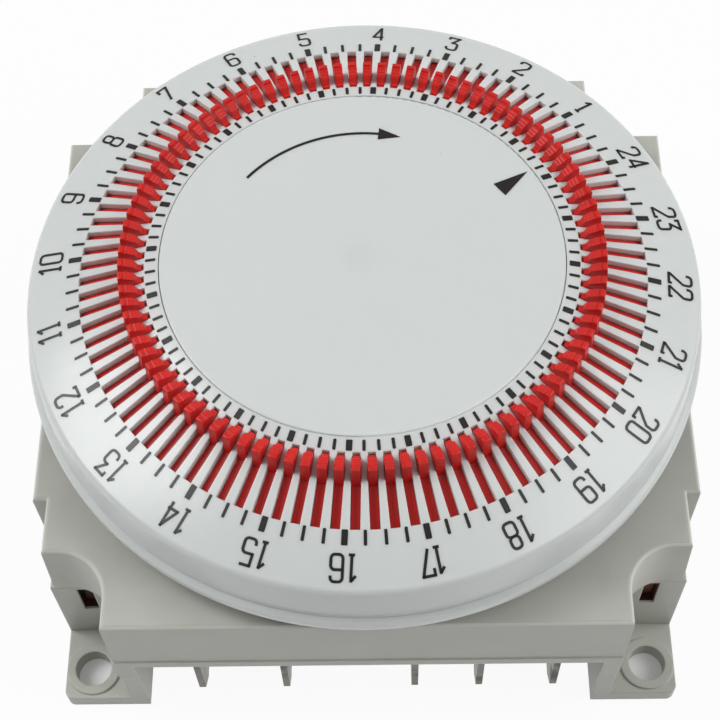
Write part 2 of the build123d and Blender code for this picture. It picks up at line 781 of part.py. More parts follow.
with BuildPart() as clutch_spring:
    with BuildSketch(Plane.XY.offset(dial_gear_high_z)):
        Circle(hub_boss_radius)
        Circle(hub_sleeve_radius, mode=Mode.SUBTRACT)
        with PolarLocations(hub_boss_radius, clutch_notch_count):
            Rectangle(clutch_notch_length, clutch_notch_width, mode=Mode.SUBTRACT)
    extrude(amount=clutch_thickness)
save(clutch_spring, "clutch_spring")

# Switch: a feeler lever on a pin, its lower arm, a slider and the sprung contact blade
lever_bore = lever_pin_radius + running_gap
feeler_x = feeler_radius * cos(radians(feeler_angle))
feeler_y = feeler_radius * sin(radians(feeler_angle))
pin_head_z = lever_arm_high_z + lever_play
with BuildPart() as lever_pin:
    drum(lever_pin_radius, plate_low_z, pin_head_z, lever_x, lever_y)
    drum(lever_pin_head_radius, pin_head_z, pin_head_z + lever_pin_head_height, lever_x, lever_y)
save(lever_pin, "lever_pin")

with BuildPart() as feeler_lever:
    drum(lever_sleeve_radius, plate_high_z + sleeve_lift, lever_arm_high_z, lever_x, lever_y)
    with BuildSketch(Plane.XY.offset(lever_arm_low_z)):
        SlotCenterPoint(((lever_x + feeler_x) / 2, (lever_y + feeler_y) / 2), (feeler_x, feeler_y),
                        lever_arm_width)
    extrude(amount=lever_arm_high_z - lever_arm_low_z)
    with BuildSketch(Plane((feeler_x, feeler_y, lever_arm_low_z))):
        Rectangle(2 * feeler_half, 2 * feeler_half, rotation=feeler_angle)
    extrude(amount=feeler_top_z - lever_arm_low_z)
    drum(lever_bore, plate_low_z, lever_arm_high_z + past, lever_x, lever_y, Mode.SUBTRACT)
save(feeler_lever, "feeler_lever")

with BuildPart() as lever_arm:
    with BuildSketch(Plane.XY.offset(switch_low_z)):
        SlotCenterPoint(((lever_x + nose_x) / 2, (lever_y + nose_y) / 2), (nose_x, nose_y),
                        2 * nose_radius)
        with Locations((lever_x, lever_y)):
            Circle(lever_sleeve_radius + arm_eye_wall)
            Circle(lever_sleeve_radius, mode=Mode.SUBTRACT)
    extrude(amount=switch_high_z - switch_low_z)
save(lever_arm, "lever_arm")

with BuildPart() as switch_slider:
    block((nose_x - slider_width / 2, slider_front_y, switch_low_z),
          (nose_x + slider_width / 2, nose_y - nose_radius - slider_play, switch_high_z))
    chamfer(switch_slider.edges().filter_by(Axis.Z), slider_chamfer)
save(switch_slider, "switch_slider")

with BuildPart() as contact_blade:
    block((blade_root_x - blade_overlap, blade_y - blade_thickness / 2, blade_low_z),
          (blade_end_x, blade_y + blade_thickness / 2, blade_high_z))
    with Locations(Location((contact_x, blade_y, contact_z), (90, 0, 0))):
        Cylinder(contact_shank_radius, past, mode=Mode.SUBTRACT)
save(contact_blade, "contact_blade")

with BuildPart() as moving_contact:
    with Locations(Location((contact_x, blade_y, contact_z), (90, 0, 0))):
        Cylinder(contact_shank_radius, blade_thickness)
    for side in (-1, 1):
        middle_y = blade_y + side * (blade_thickness + contact_height) / 2
        with Locations(Location((contact_x, middle_y, contact_z), (90, 0, 0))):
            Cylinder(contact_radius, contact_height)
save(moving_contact, "moving_contact")

fixed_contacts = (("open_contact", open_contact_y, -1), ("closed_contact", closed_contact_y, 1))
for contact_name, face_y, way in fixed_contacts:
    with BuildPart() as fixed_contact:
        middle_y = face_y + way * contact_height / 2
        with Locations(Location((contact_x, middle_y, contact_z), (90, 0, 0))):
            Cylinder(contact_radius, contact_height)
    save(fixed_contact, contact_name)


def tab(x, top_z):
    """A push-on terminal blade in the open part, with a bevelled tip and a latch hole."""
    back_y = tab_front_y + tab_width
    side_plane = Plane(origin=(x - tab_thickness / 2, 0, 0), x_dir=(0, 1, 0), z_dir=(1, 0, 0))
    with BuildSketch(side_plane) as side:
        Polygon(
            (tab_front_y + tab_tip_chamfer, tab_tip_z),
            (back_y - tab_tip_chamfer, tab_tip_z),
            (back_y, tab_tip_z + tab_tip_chamfer),
            (back_y, top_z),
            (tab_front_y, top_z),
            (tab_front_y, tab_tip_z + tab_tip_chamfer),
            align=None,
        )
        with Locations((tab_front_y + tab_width / 2, tab_hole_z)):
            Circle(tab_hole_radius, mode=Mode.SUBTRACT)
    extrude(side.sketch, amount=tab_thickness)


# Supply terminals run back over the bay to the motor's lugs
half_tab = tab_thickness / 2
strips = (
    ("line_terminal", line_tab_x, line_strip_end_y),
    ("neutral_terminal", neutral_tab_x, neutral_strip_end_y),
)
for terminal_name, x, strip_end_y in strips:
    with BuildPart() as supply_terminal:
        tab(x, strip_high_z)
        block((x - half_tab, tab_front_y + tab_shoulder, strip_low_z),
              (x + half_tab, strip_end_y, strip_high_z))
    save(supply_terminal, terminal_name)

# Switch terminals rise to the blade and to the two fixed contacts
with BuildPart() as common_terminal:
    tab(common_tab_x, blade_high_z)
    block((common_tab_x - half_tab, tab_front_y, blade_low_z),
          (common_tab_x + half_tab, common_plate_end_y, blade_high_z))
save(common_terminal, "common_terminal")

with BuildPart() as open_terminal:
    plate_y = open_contact_y - contact_height
    tab(open_tab_x, blade_high_z)
    block((open_tab_x - half_tab, tab_front_y, blade_low_z),
          (open_tab_x + half_tab, plate_y, blade_high_z))
    block((open_tab_x - half_tab, plate_y - tab_thickness, blade_low_z),
          (contact_x + contact_plate_reach, plate_y, blade_high_z))
save(open_terminal, "open_terminal")

with BuildPart() as closed_terminal:
    plate_y = closed_contact_y + contact_height
    bridge_z = plate_high_z + bridge_gap
    plate_end_y = plate_y + tab_thickness
    tab(closed_tab_x, bridge_z + tab_thickness)
    block((closed_tab_x - half_tab, tab_front_y + tab_shoulder, bridge_z),
          (bridge_end_x, plate_end_y, bridge_z + tab_thickness))
    block((riser_start_x, plate_y, bridge_z), (contact_x + contact_plate_reach, plate_end_y, blade_high_z))
save(closed_terminal, "closed_terminal")
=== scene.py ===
from math import atan2, cos, radians, sin, tan

import bpy
from mathutils import Matrix, Vector


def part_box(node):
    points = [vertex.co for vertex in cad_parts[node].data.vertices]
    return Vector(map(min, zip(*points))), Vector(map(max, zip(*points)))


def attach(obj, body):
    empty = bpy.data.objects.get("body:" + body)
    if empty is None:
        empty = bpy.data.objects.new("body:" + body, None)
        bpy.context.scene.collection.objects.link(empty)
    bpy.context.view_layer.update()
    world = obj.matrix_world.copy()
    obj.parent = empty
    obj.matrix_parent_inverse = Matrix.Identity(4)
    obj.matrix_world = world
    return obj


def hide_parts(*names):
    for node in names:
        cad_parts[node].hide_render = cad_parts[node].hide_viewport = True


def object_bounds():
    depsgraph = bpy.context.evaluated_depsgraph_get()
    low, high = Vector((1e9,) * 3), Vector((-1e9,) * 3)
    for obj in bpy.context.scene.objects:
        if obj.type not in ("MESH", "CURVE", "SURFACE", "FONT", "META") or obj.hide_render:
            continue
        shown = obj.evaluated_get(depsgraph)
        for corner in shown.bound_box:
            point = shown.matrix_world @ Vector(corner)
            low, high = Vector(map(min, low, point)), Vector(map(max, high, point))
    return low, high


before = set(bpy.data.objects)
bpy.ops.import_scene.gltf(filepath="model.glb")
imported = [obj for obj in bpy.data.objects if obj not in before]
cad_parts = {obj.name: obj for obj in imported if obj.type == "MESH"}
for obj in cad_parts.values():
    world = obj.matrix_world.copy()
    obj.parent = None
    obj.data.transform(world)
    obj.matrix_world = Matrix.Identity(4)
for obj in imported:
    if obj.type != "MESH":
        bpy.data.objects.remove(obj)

cad_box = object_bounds()

bl_info = {
    "name": "Time switch finish",
    "version": (1, 0, 0),
    "blender": (4, 5, 0),
    "location": "View3D > Sidebar > Time switch",
    "description": "Prints the dial and finishes the plastics and metals of a 24-hour time switch",
    "category": "Object",
}

MM = 0.001
QUARTER_COUNT = 96
HOUR_COUNT = 24
QUARTERS_PER_HOUR = QUARTER_COUNT // HOUR_COUNT
FULL_TURN = radians(360)
RIGHT_ANGLE = radians(90)
UPRIGHT = (0, 0, 1)
MIDDLE = (0, 0, 0)

# How far above the part, in metres, a ray starts that feels for its surface
RAY_HEIGHT = 1.0

# Points nearer than the first are merged, and nearer than the second to a rim count as on it
WELD = 0.0005 * MM
NEAR = 0.01 * MM

# Fineness of the rounded edges and curves
RIM_SEGMENTS = 4
TAPPET_SEGMENTS = 3
BAR_SEGMENTS = 2
EYE_SIDES = 24
CORNER_STEPS = 5
ARROW_STEPS = 40
DIAL_CREASE = radians(30)
TAPPET_CREASE = radians(35)


def length_setting(name, description, millimetres, precision=5):
    """A length that a user may change, given in millimetres."""
    return bpy.props.FloatProperty(
        name=name, description=description, default=millimetres * MM, unit="LENGTH",
        precision=precision)


def angle_setting(name, description, degrees):
    """An angle that a user may change, given in degrees."""
    return bpy.props.FloatProperty(
        name=name, description=description, default=radians(degrees), subtype="ANGLE")


def share_setting(name, description, default):
    """A share of a whole that a user may change."""
    return bpy.props.FloatProperty(
        name=name, description=description, default=default, subtype="FACTOR", min=0, max=1)


def power_setting(name, description, watts):
    """A lamp's power that a user may change."""
    return bpy.props.FloatProperty(
        name=name, description=description, default=watts, unit="POWER")


def colour_setting(name, description, default):
    """A colour that a user may change."""
    return bpy.props.FloatVectorProperty(
        name=name, description=description, default=default, subtype="COLOR", size=3, min=0, max=1)


def count_setting(name, description, default, least):
    """A number of like things that a user may change."""
    return bpy.props.IntProperty(name=name, description=description, default=default, min=least)


class TIMESWITCH_PG_print(bpy.types.PropertyGroup):
    """Sizes of what is printed on the dial and on the pointer disc."""

    zero_angle: angle_setting(
        "Angle of hour 24", "Where hour 24 stands, counter-clockwise from +X", 26.55)
    ink_height: length_setting(
        "Ink height", "How far the ink stands above the plastic", 0.025, precision=6)
    ink_depth: length_setting(
        "Ink depth", "How far the ink reaches into the plastic", 0.03, precision=6)
    outer_mark_start: length_setting(
        "Outer mark start", "Inner radius of the marks outside the slots", 32.15)
    outer_mark_end: length_setting(
        "Outer mark end", "Outer radius of the marks outside the slots", 33.80)
    inner_mark_start: length_setting(
        "Inner mark start", "Inner radius of the marks inside the slots", 23.16)
    inner_mark_end: length_setting(
        "Inner mark end", "Outer radius of the marks inside the slots", 24.38)
    hour_mark_width: length_setting("Hour mark width", "Width of the bold mark at each hour", 0.68)
    quarter_mark_width: length_setting(
        "Quarter mark width", "Width of the thin marks between the hours", 0.35)
    number_radius: length_setting("Number radius", "Radius of the middle of the hour numbers", 36.0)
    number_height: length_setting("Number height", "Height of a digit", 3.14)
    digit_width: length_setting("Digit width", "Width of every digit but 1", 1.56)
    one_width: length_setting("Width of 1", "Width of the digit 1", 1.1)
    digit_gap: length_setting("Digit gap", "Gap between two digits of a number", 0.24)
    stroke: length_setting("Stroke", "Width of the line that draws a digit", 0.315)
    corner_radius: length_setting(
        "Corner radius", "Radius of a digit's round corners, along the middle of its line", 0.42)
    arrow_radius: length_setting("Arrow radius", "Radius of the turning arrow on the disc", 17.15)
    arrow_width: length_setting("Arrow width", "Width of the turning arrow's line", 0.34)
    arrow_tail_angle: angle_setting("Arrow tail", "Angle at which the turning arrow starts", 140.4)
    arrow_neck_angle: angle_setting("Arrow neck", "Angle at which the arrow's head starts", 83.3)
    arrow_tip_angle: angle_setting("Arrow tip", "Angle of the arrow's tip", 74.5)
    arrow_head_width: length_setting(
        "Arrow head width", "Width of the arrow's head at the neck", 1.66)


class TIMESWITCH_PG_dial(bpy.types.PropertyGroup):
    """Sizes of the dial ring."""

    cone_angle: angle_setting("Cone angle", "Slope of the printed cone", 18.1)
    cone_radius: length_setting("Cone radius", "Radius at which the cone's height is given", 33.0)
    cone_height: length_setting("Cone height", "Height of the cone at that radius", 39.5)
    bore_radius: length_setting("Bore radius", "Radius of the hole round the pointer disc", 22.87)
    bore_height: length_setting("Bore height", "Height of the hole's upper edge", 42.6)
    brow_radius: length_setting("Brow radius", "Radius at which the cone starts", 24.4)
    shoulder_radius: length_setting("Shoulder radius", "Radius at which the cone ends", 38.5)
    skirt_radius: length_setting("Skirt radius", "Outer radius of the skirt at its foot", 38.8)
    lip_radius: length_setting("Lip radius", "Outer radius of the finger lip", 39.55)
    lip_low: length_setting("Lip underside", "Height of the lip's underside", 30.3)
    lip_high: length_setting("Lip top", "Height of the lip where it meets the skirt", 31.8)
    lip_slope: length_setting("Lip slope", "Fall of the lip's top towards its edge", 0.4)
    shoulder_rounding: length_setting("Shoulder rounding", "Cut-back of the rounded shoulder", 0.6)
    lip_rounding: length_setting("Lip rounding", "Cut-back of the lip's rounded edge", 0.28)
    thickness: length_setting("Thickness", "Thickness of the cone", 0.95)
    skirt_wall: length_setting("Skirt wall", "Thickness of the skirt", 1.4)
    web_inner: length_setting("Web inner radius", "Inner radius of the web under the disc", 17.0)
    web_outer: length_setting("Web outer radius", "Outer radius of the web under the disc", 24.9)
    web_low: length_setting("Web underside", "Height of the web's underside", 39.5)
    web_high: length_setting("Web top", "Height of the web's top", 40.9)
    slot_inner: length_setting("Slot inner radius", "Radius at which the slots start", 24.5)
    slot_outer: length_setting("Slot outer radius", "Radius at which the slots end", 32.2)
    slot_width: length_setting("Slot width", "Width of a slot", 1.08)
    taper_radius: length_setting(
        "Taper radius", "Radius from which the slots grow narrower inwards", 26.6)
    taper_share: share_setting(
        "Taper share", "Width of a slot's inner end against its full width", 0.77)
    slot_reach: length_setting("Slot cutter height", "Height of the block that cuts a slot", 14.0)
    steps: count_setting("Steps", "Flats round the dial", 384, 96)


class TIMESWITCH_PG_tappet(bpy.types.PropertyGroup):
    """Sizes of a tappet, the red rocker in each slot."""

    half_width: length_setting("Half width", "Half the tappet's width", 0.5)
    toe_share: share_setting("Toe share", "Width of the toe against the full width", 0.7)
    foot_share: share_setting("Foot share", "Width of the ramp's foot against the full width", 0.88)
    step_share: share_setting("Step share", "Width of the step against the full width", 0.82)
    toe_radius: length_setting("Toe radius", "Radius of the toe's inner end", 24.62)
    toe_run: length_setting("Toe run", "Length of the toe's sloping end", 0.26)
    toe_depth: length_setting("Toe depth", "Depth of the toe's sloping end", 0.6)
    step_radius: length_setting("Step radius", "Radius at which the toe's step starts", 25.15)
    step_run: length_setting("Step run", "Length of the step", 0.35)
    step_rise: length_setting("Step rise", "Height of the step", 0.7)
    crest_radius: length_setting("Crest radius", "Radius of the crest", 27.15)
    crest_rise: length_setting("Crest rise", "Height of the crest above the cone", 2.15)
    crest_half: length_setting("Crest half", "Half the crest's length", 0.15)
    ridge_rise: length_setting("Ridge rise", "Height of the grip ridges", 0.06)
    ridge_count: count_setting("Ridges", "Number of grip ridges", 4, 0)
    wing_start: length_setting("Wing start", "Radius at which the wing starts", 27.5)
    wing_end: length_setting("Wing end", "Radius at which the wing ends", 32.12)
    wing_depth: length_setting("Wing depth", "Depth of the wing below the cone", 1.0)
    wing_thickness: length_setting("Wing thickness", "Thickness of the wing's end", 0.6)
    wire_radius: length_setting(
        "Wire ring radius", "Radius of the wire ring that the tappets rock on", 28.35)
    wire_depth: length_setting("Wire depth", "Depth of the wire below the cone", 5.0)
    eye_radius: length_setting("Eye radius", "Radius of the hole for the wire", 0.5)
    hub_half: length_setting("Hub half", "Half the hub's length", 1.1)
    tail_half: length_setting("Tail half", "Half the tail's length", 0.6)
    tail_length: length_setting("Tail length", "From the wire to the tail's end", 3.1)
    edge_radius: length_setting("Edge rounding", "Rounding of the head's edges", 0.13)


class TIMESWITCH_PG_finish(bpy.types.PropertyGroup):
    """Colours of the plastics, the ink and the metals."""

    housing: colour_setting("Housing", "Warm light grey of the case", (0.50, 0.505, 0.455))
    dial: colour_setting("Dial", "Cool white of the dial and the disc", (0.68, 0.71, 0.70))
    tappet: colour_setting("Tappets", "Bright red of the tappets", (0.66, 0.022, 0.018))
    ink: colour_setting("Ink", "Brown black of the print", (0.010, 0.009, 0.007))
    brass: colour_setting("Brass", "Dull brass of the terminals", (0.13, 0.12, 0.10))
    steel: colour_setting("Steel", "Bright steel of shafts and screws", (0.58, 0.58, 0.57))


class TIMESWITCH_PG_stage(bpy.types.PropertyGroup):
    """Where the camera and the lamps stand."""

    azimuth: angle_setting("Azimuth", "Camera's turn round the object", 1.92)
    elevation: angle_setting("Elevation", "Camera's height above the horizon", 59.88)
    roll: angle_setting("Roll", "Camera's turn about its own line of sight", -2.44)
    distance: length_setting("Distance", "From the dial to the camera", 182.27)
    aim_right: length_setting(
        "Aim right", "How far the dial's middle lies right of the picture's middle", 0.28)
    aim_up: length_setting(
        "Aim up", "How far the dial's middle lies above the picture's middle", 10.165)
    lens: bpy.props.FloatProperty(
        name="Lens", description="Focal length on a 36 mm sensor", default=80.22,
        subtype="DISTANCE_CAMERA")
    key_power: power_setting("Key power", "Power of the soft box above the left side", 1.65)
    fill_power: power_setting("Fill power", "Power of the soft box above the right side", 1.6)
    sky_strength: bpy.props.FloatProperty(
        name="Sky strength", description="Strength of the light from all sides", default=0.41,
        min=0)
    front_share: share_setting(
        "Front share", "Share of the sky's light that comes from the viewer's side", 0.28)


# Shader nodes

# Sockets of a colour mix, which are known by their numbers
MIX_AMOUNT, MIX_FIRST, MIX_SECOND = 0, 6, 7
MIX_RESULT = 2


class Value:
    """A socket in a material that takes part in arithmetic."""

    def __init__(self, paint, socket):
        self.paint = paint
        self.socket = socket

    def maths(self, operation, first, second):
        """Any arithmetic on two values."""
        return self.paint.node("ShaderNodeMath", {"operation": operation}, {0: first, 1: second})

    def __add__(self, other):
        return self.maths("ADD", self, other)

    def __radd__(self, other):
        return self.maths("ADD", other, self)

    def __sub__(self, other):
        return self.maths("SUBTRACT", self, other)

    def __rsub__(self, other):
        return self.maths("SUBTRACT", other, self)

    def __mul__(self, other):
        return self.maths("MULTIPLY", self, other)

    def __rmul__(self, other):
        return self.maths("MULTIPLY", other, self)

    def __lt__(self, other):
        return self.maths("LESS_THAN", self, other)

    def __gt__(self, other):
        return self.maths("GREATER_THAN", self, other)


class Nodes:
    """A tree of shader nodes, to which nodes are added."""

    def __init__(self, tree):
        self.tree = tree

    def node(self, kind, settings, sockets, output=0):
        """Any node: its settings first, then the values or links of its sockets."""
        made = self.tree.nodes.new(kind)
        for name, value in settings.items():
            setattr(made, name, value)
        for key, value in sockets.items():
            self.feed(made.inputs[key], value)
        return Value(self, made.outputs[output])

    def feed(self, socket, value):
        """Links a value to a socket, or sets a plain number or colour on it."""
        if isinstance(value, Value):
            self.tree.links.new(value.socket, socket)
        elif socket.type == "RGBA" and len(value) == 3:
            socket.default_value = (*value, 1.0)
        else:
            socket.default_value = value

    def ease(self, value, low, high, bottom=0.0, top=1.0):
        """A value stretched from one range onto another, with soft ends."""
        return self.node("ShaderNodeMapRange", {"interpolation_type": "SMOOTHSTEP"},
                         {"Value": value, "From Min": low, "From Max": high,
                          "To Min": bottom, "To Max": top})

    def mix(self, amount, first, second):
        """One colour turning into another."""
        return self.node("ShaderNodeMix", {"data_type": "RGBA"},
                         {MIX_AMOUNT: amount, MIX_FIRST: first, MIX_SECOND: second}, MIX_RESULT)

    def vector(self, operation, first, second, output=0):
        """Arithmetic of two vectors."""
        return self.node("ShaderNodeVectorMath", {"operation": operation},
                         {0: first, 1: second}, output)

    def axis(self, vector, name):
        """One axis of a vector."""
        return self.node("ShaderNodeSeparateXYZ", {}, {0: vector}, name)

    def rays(self, *kinds):
        """One where a ray is of one of these kinds."""
        seen, *others = (self.node("ShaderNodeLightPath", {}, {}, kind) for kind in kinds)
        for other in others:
            seen = seen.maths("MAXIMUM", seen, other)
        return seen

    def blend(self, amount, first, second):
        """One shader turning into another."""
        return self.node("ShaderNodeMixShader", {}, {0: amount, 1: first, 2: second})


class Paint(Nodes):
    """A new material with one surface shader, to which patterns are added."""

    def __init__(self, name, **constants):
        self.material = bpy.data.materials.new(name)
        self.material.use_nodes = True
        super().__init__(self.material.node_tree)
        self.shader = self.tree.nodes["Principled BSDF"]
        for socket, value in constants.items():
            self.shader.inputs[socket.replace("_", " ")].default_value = value
        self.place = self.node("ShaderNodeTexCoord", {}, {}, "Object")

    def noise(self, size, detail=2.0):
        """Soft random values about 0.5, in patches of a size."""
        return self.node("ShaderNodeTexNoise", {},
                         {"Vector": self.place, "Scale": 1 / size, "Detail": detail})

    def edges(self, rounded):
        """A mask of the strips along sharp edges, from the rounded normal."""
        flat = self.node("ShaderNodeNewGeometry", {}, {}, "Normal")
        likeness = self.vector("DOT_PRODUCT", rounded, flat, "Value")
        return self.ease(likeness, 0.80, 0.97, bottom=1.0, top=0.0)

    def within(self, axis, low, high):
        """One between two limits along an axis, on both sides of the middle."""
        side = self.node("ShaderNodeMath", {"operation": "ABSOLUTE"},
                         {0: self.axis(self.place, axis)})
        return (side > low) * (side < high)

    def specks(self, spacing, radius, share):
        """A mask of small round specks in some cells of a random grid."""
        cells = {"Vector": self.place, "Scale": 1 / spacing}
        reach = self.node("ShaderNodeTexVoronoi", {"feature": "F1"}, cells, "Distance")
        lot = self.node("ShaderNodeTexVoronoi", {"feature": "F1"}, cells, "Color")
        chance = self.node("ShaderNodeSeparateColor", {}, {0: lot})
        return (reach < radius / spacing) * (chance < share)

    def soft_edges(self, radius):
        """The surface's normal with sharp edges rounded off."""
        return self.node("ShaderNodeBevel", {"samples": 6}, {"Radius": radius})

    def finish(self, colour, roughness, height=None, relief=0.0, normal=None):
        """Connects a colour, a roughness and, where given, a relief and a rounded normal."""
        self.feed(self.shader.inputs["Base Color"], colour)
        self.feed(self.shader.inputs["Roughness"], roughness)
        if height is not None:
            sockets = {"Height": height, "Distance": relief, "Strength": 1.0}
            if normal:
                sockets["Normal"] = normal
            normal = self.node("ShaderNodeBump", {}, sockets)
        if normal:
            self.feed(self.shader.inputs["Normal"], normal)
        return self.material


def shade(colour, factor):
    """A colour made lighter or darker."""
    return tuple(min(1.0, channel * factor) for channel in colour)


PLASTIC_IOR = 1.5
SOFT_PLASTIC_IOR = 1.38

# Lowest and highest places of the cover's upper fillet, which is lightened as a painted highlight,
# and of the snap windows in the notch walls
FILLET_BAND = (26.4 * MM, 26.74 * MM)
SNAP_WINDOW = {"X": (32.4 * MM, 34.4 * MM), "Y": (25.8 * MM, 28.4 * MM), "Z": (9.0 * MM, 16.2 * MM)}
# Brown of the snap hooks seen in the notch windows, darkened further as painted shade of those
# recesses
SHADED_HOOK_LIGHT = (0.16, 0.05, 0.02)
SHADED_HOOK_DARK = (0.03, 0.012, 0.008)


def housing_plastic(colour):
    """Warm grey moulding with a fine spark-eroded grain, painted highlights on the edges and the
    upper fillet, a little dust, and brown snap hooks darkened by painted shade.
    """
    paint = Paint("housing_plastic", IOR=PLASTIC_IOR)
    cloud = paint.noise(9 * MM, detail=3.0)
    grain = paint.noise(0.16 * MM, detail=1.0)
    tone = paint.mix(paint.ease(cloud, 0.3, 0.7), shade(colour, 0.95), shade(colour, 1.04))
    rounded = paint.soft_edges(0.3 * MM)
    edges = paint.edges(rounded)
    bright = edges.maths("MAXIMUM", edges, paint.within("Z", *FILLET_BAND))
    # The sharp edges and the cover's upper fillet are lightened here as a painted highlight
    tone = paint.mix(bright * 0.7, tone, shade(colour, 1.45))
    dust = paint.specks(spacing=2.6 * MM, radius=0.09 * MM, share=0.10)
    tone = paint.mix(dust * 0.55, tone, shade(colour, 0.35))
    across, along, up = (paint.within(axis, *limits) for axis, limits in SNAP_WINDOW.items())
    # The snap windows show the hooks' brown, darkened with painted shade
    shaded_hook_brown = paint.mix(paint.ease(cloud, 0.35, 0.65), SHADED_HOOK_LIGHT, SHADED_HOOK_DARK)
    tone = paint.mix(across * along * up, tone, shaded_hook_brown)
    roughness = 0.44 + (cloud - 0.5) * 0.16
    return paint.finish(tone, roughness, height=grain, relief=0.012 * MM, normal=rounded)


def dial_plastic(colour):
    """Cool white moulding with a satin gloss, a slight orange peel and a few specks."""
    paint = Paint("dial_plastic", IOR=PLASTIC_IOR, Subsurface_Weight=0.7,
                  Subsurface_Scale=0.9 * MM, Subsurface_Radius=(1.0, 0.95, 0.9))
    cloud = paint.noise(14 * MM)
    peel = paint.noise(0.32 * MM, detail=1.0)
    tone = paint.mix(cloud * 0.7 + peel * 0.3, shade(colour, 0.99), shade(colour, 1.018))
    dust = paint.specks(spacing=4.5 * MM, radius=0.11 * MM, share=0.12)
    tone = paint.mix(dust * 0.6, tone, shade(colour, 0.25))
    roughness = 0.25 + (cloud - 0.5) * 0.03
    return paint.finish(tone, roughness, height=peel, relief=0.0004 * MM,
                        normal=paint.soft_edges(0.15 * MM))


def tappet_plastic(colour):
    """Bright red moulding, a little different from one tappet to the next."""
    paint = Paint("tappet_plastic", IOR=SOFT_PLASTIC_IOR)
    angle = paint.node("ShaderNodeMath", {"operation": "ARCTAN2"},
                       {0: paint.axis(paint.place, "Y"), 1: paint.axis(paint.place, "X")})
    number = paint.node("ShaderNodeMath", {"operation": "ROUND"},
                        {0: angle * (QUARTER_COUNT / FULL_TURN)})
    lot = paint.node("ShaderNodeTexWhiteNoise", {"noise_dimensions": "1D"}, {"W": number})
    cloud = paint.noise(1.1 * MM)
    tone = paint.mix(lot * 0.6 + cloud * 0.4, shade(colour, 0.86), shade(colour, 1.08))
    roughness = 0.34 + (cloud - 0.5) * 0.2
    grain = paint.noise(0.14 * MM, detail=1.0)
    return paint.finish(tone, roughness, height=grain, relief=0.008 * MM)


def dial_ink(colour):
    """Pad-printed ink, thin and a little patchy."""
    paint = Paint("dial_ink", IOR=PLASTIC_IOR)
    patch = paint.ease(paint.noise(0.22 * MM, detail=3.0), 0.56, 0.8)
    tone = paint.mix(patch * 0.35, colour, shade(colour, 6.0))
    grain = paint.noise(0.1 * MM, detail=1.0)
    return paint.finish(tone, 0.36 + patch * 0.2, height=grain, relief=0.004 * MM)


def worn_metal(name, colour, stain, roughness, streak):
    """Metal with drawn streaks along Z and dull stains."""
    paint = Paint(name, Metallic=1.0)
    stretched = paint.node("ShaderNodeMapping", {"vector_type": "POINT"},
                           {"Vector": paint.place, "Scale": (1.0, 1.0, streak)})
    lines = paint.node("ShaderNodeTexNoise", {},
                       {"Vector": stretched, "Scale": 1 / (0.25 * MM), "Detail": 2.0})
    blotch = paint.ease(paint.noise(2.2 * MM, detail=4.0), 0.42, 0.7)
    tone = paint.mix(blotch * 0.75, colour, stain)
    rough = roughness + blotch * 0.16 + (lines - 0.5) * 0.14
    return paint.finish(tone, rough, height=lines, relief=0.006 * MM)


def plain_moulding(name, colour, roughness):
    """An inner moulding with faint flow clouds and grain."""
    paint = Paint(name, IOR=PLASTIC_IOR)
    cloud = paint.noise(5 * MM, detail=3.0)
    tone = paint.mix(paint.ease(cloud, 0.3, 0.7), shade(colour, 0.93), shade(colour, 1.05))
    grain = paint.noise(0.2 * MM, detail=1.0)
    return paint.finish(tone, roughness + (cloud - 0.5) * 0.14, height=grain, relief=0.008 * MM)


def ink_material(context):
    """The one ink that prints all marks."""
    made = bpy.data.materials.get("dial_ink")
    return made or dial_ink(tuple(context.scene.timeswitch_finish.ink))


def dress(names, material):
    """Gives CAD nodes a material."""
    for name in names:
        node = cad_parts[name]
        coat(node, material)


# Modelling helpers

def edit_all():
    """Enters edit mode with all of the piece selected."""
    bpy.ops.object.mode_set(mode="EDIT")
    bpy.ops.mesh.select_all(action="SELECT")


def leave_edit():
    """Goes back to object mode."""
    bpy.ops.object.mode_set(mode="OBJECT")


def keep_place():
    """Keeps the selected piece's place, turn and size in its mesh."""
    bpy.ops.object.transform_apply(location=True, rotation=True, scale=True)


def extrude(step):
    """Draws out what is selected by a step."""
    bpy.ops.mesh.extrude_region_move(TRANSFORM_OT_translate={"value": step})


def coat(piece, material):
    """Gives a piece one material."""
    piece.data.materials.clear()
    piece.data.materials.append(material)


def begin():
    """Leaves nothing selected, so that the next operator acts on the new piece alone."""
    if bpy.context.mode != "OBJECT":
        leave_edit()
    bpy.ops.object.select_all(action="DESELECT")


def choose(pieces):
    """Selects pieces and makes the first one active."""
    begin()
    for piece in pieces:
        piece.select_set(True)
    bpy.context.view_layer.objects.active = pieces[0]


def settle(piece, place):
    """Moves a piece to its place and keeps the place in its mesh."""
    piece.matrix_world = place
    choose([piece])
    keep_place()


def joined(pieces, name):
    """Several pieces as one, with closed, outward faces."""
    choose(pieces)
    if len(pieces) > 1:
        bpy.ops.object.join()
    piece = bpy.context.view_layer.objects.active
    piece.name = name
    piece.data.name = name
    edit_all()
    bpy.ops.mesh.remove_doubles(threshold=WELD)
    bpy.ops.mesh.normals_make_consistent(inside=False)
    leave_edit()
    return piece


def copy_of(piece):
    """A copy with a mesh of its own."""
    twin = piece.copy()
    twin.data = piece.data.copy()
    bpy.context.scene.collection.objects.link(twin)
    return twin


def polar(radius, angle):
    """The X and Y of a point from its radius and angle."""
    return radius * cos(angle), radius * sin(angle)


def surface_height(piece, radius, angle):
    """Height of a piece's top at a radius and an angle about the dial's axis."""
    above = Vector((*polar(radius, angle), cad_box[1].z + RAY_HEIGHT))
    found, spot, _, _ = bpy.data.objects[piece].ray_cast(above, Vector((0, 0, -1)))
    if not found:
        raise RuntimeError(f"{piece} has no surface at radius {radius} and angle {angle}")
    return spot.z


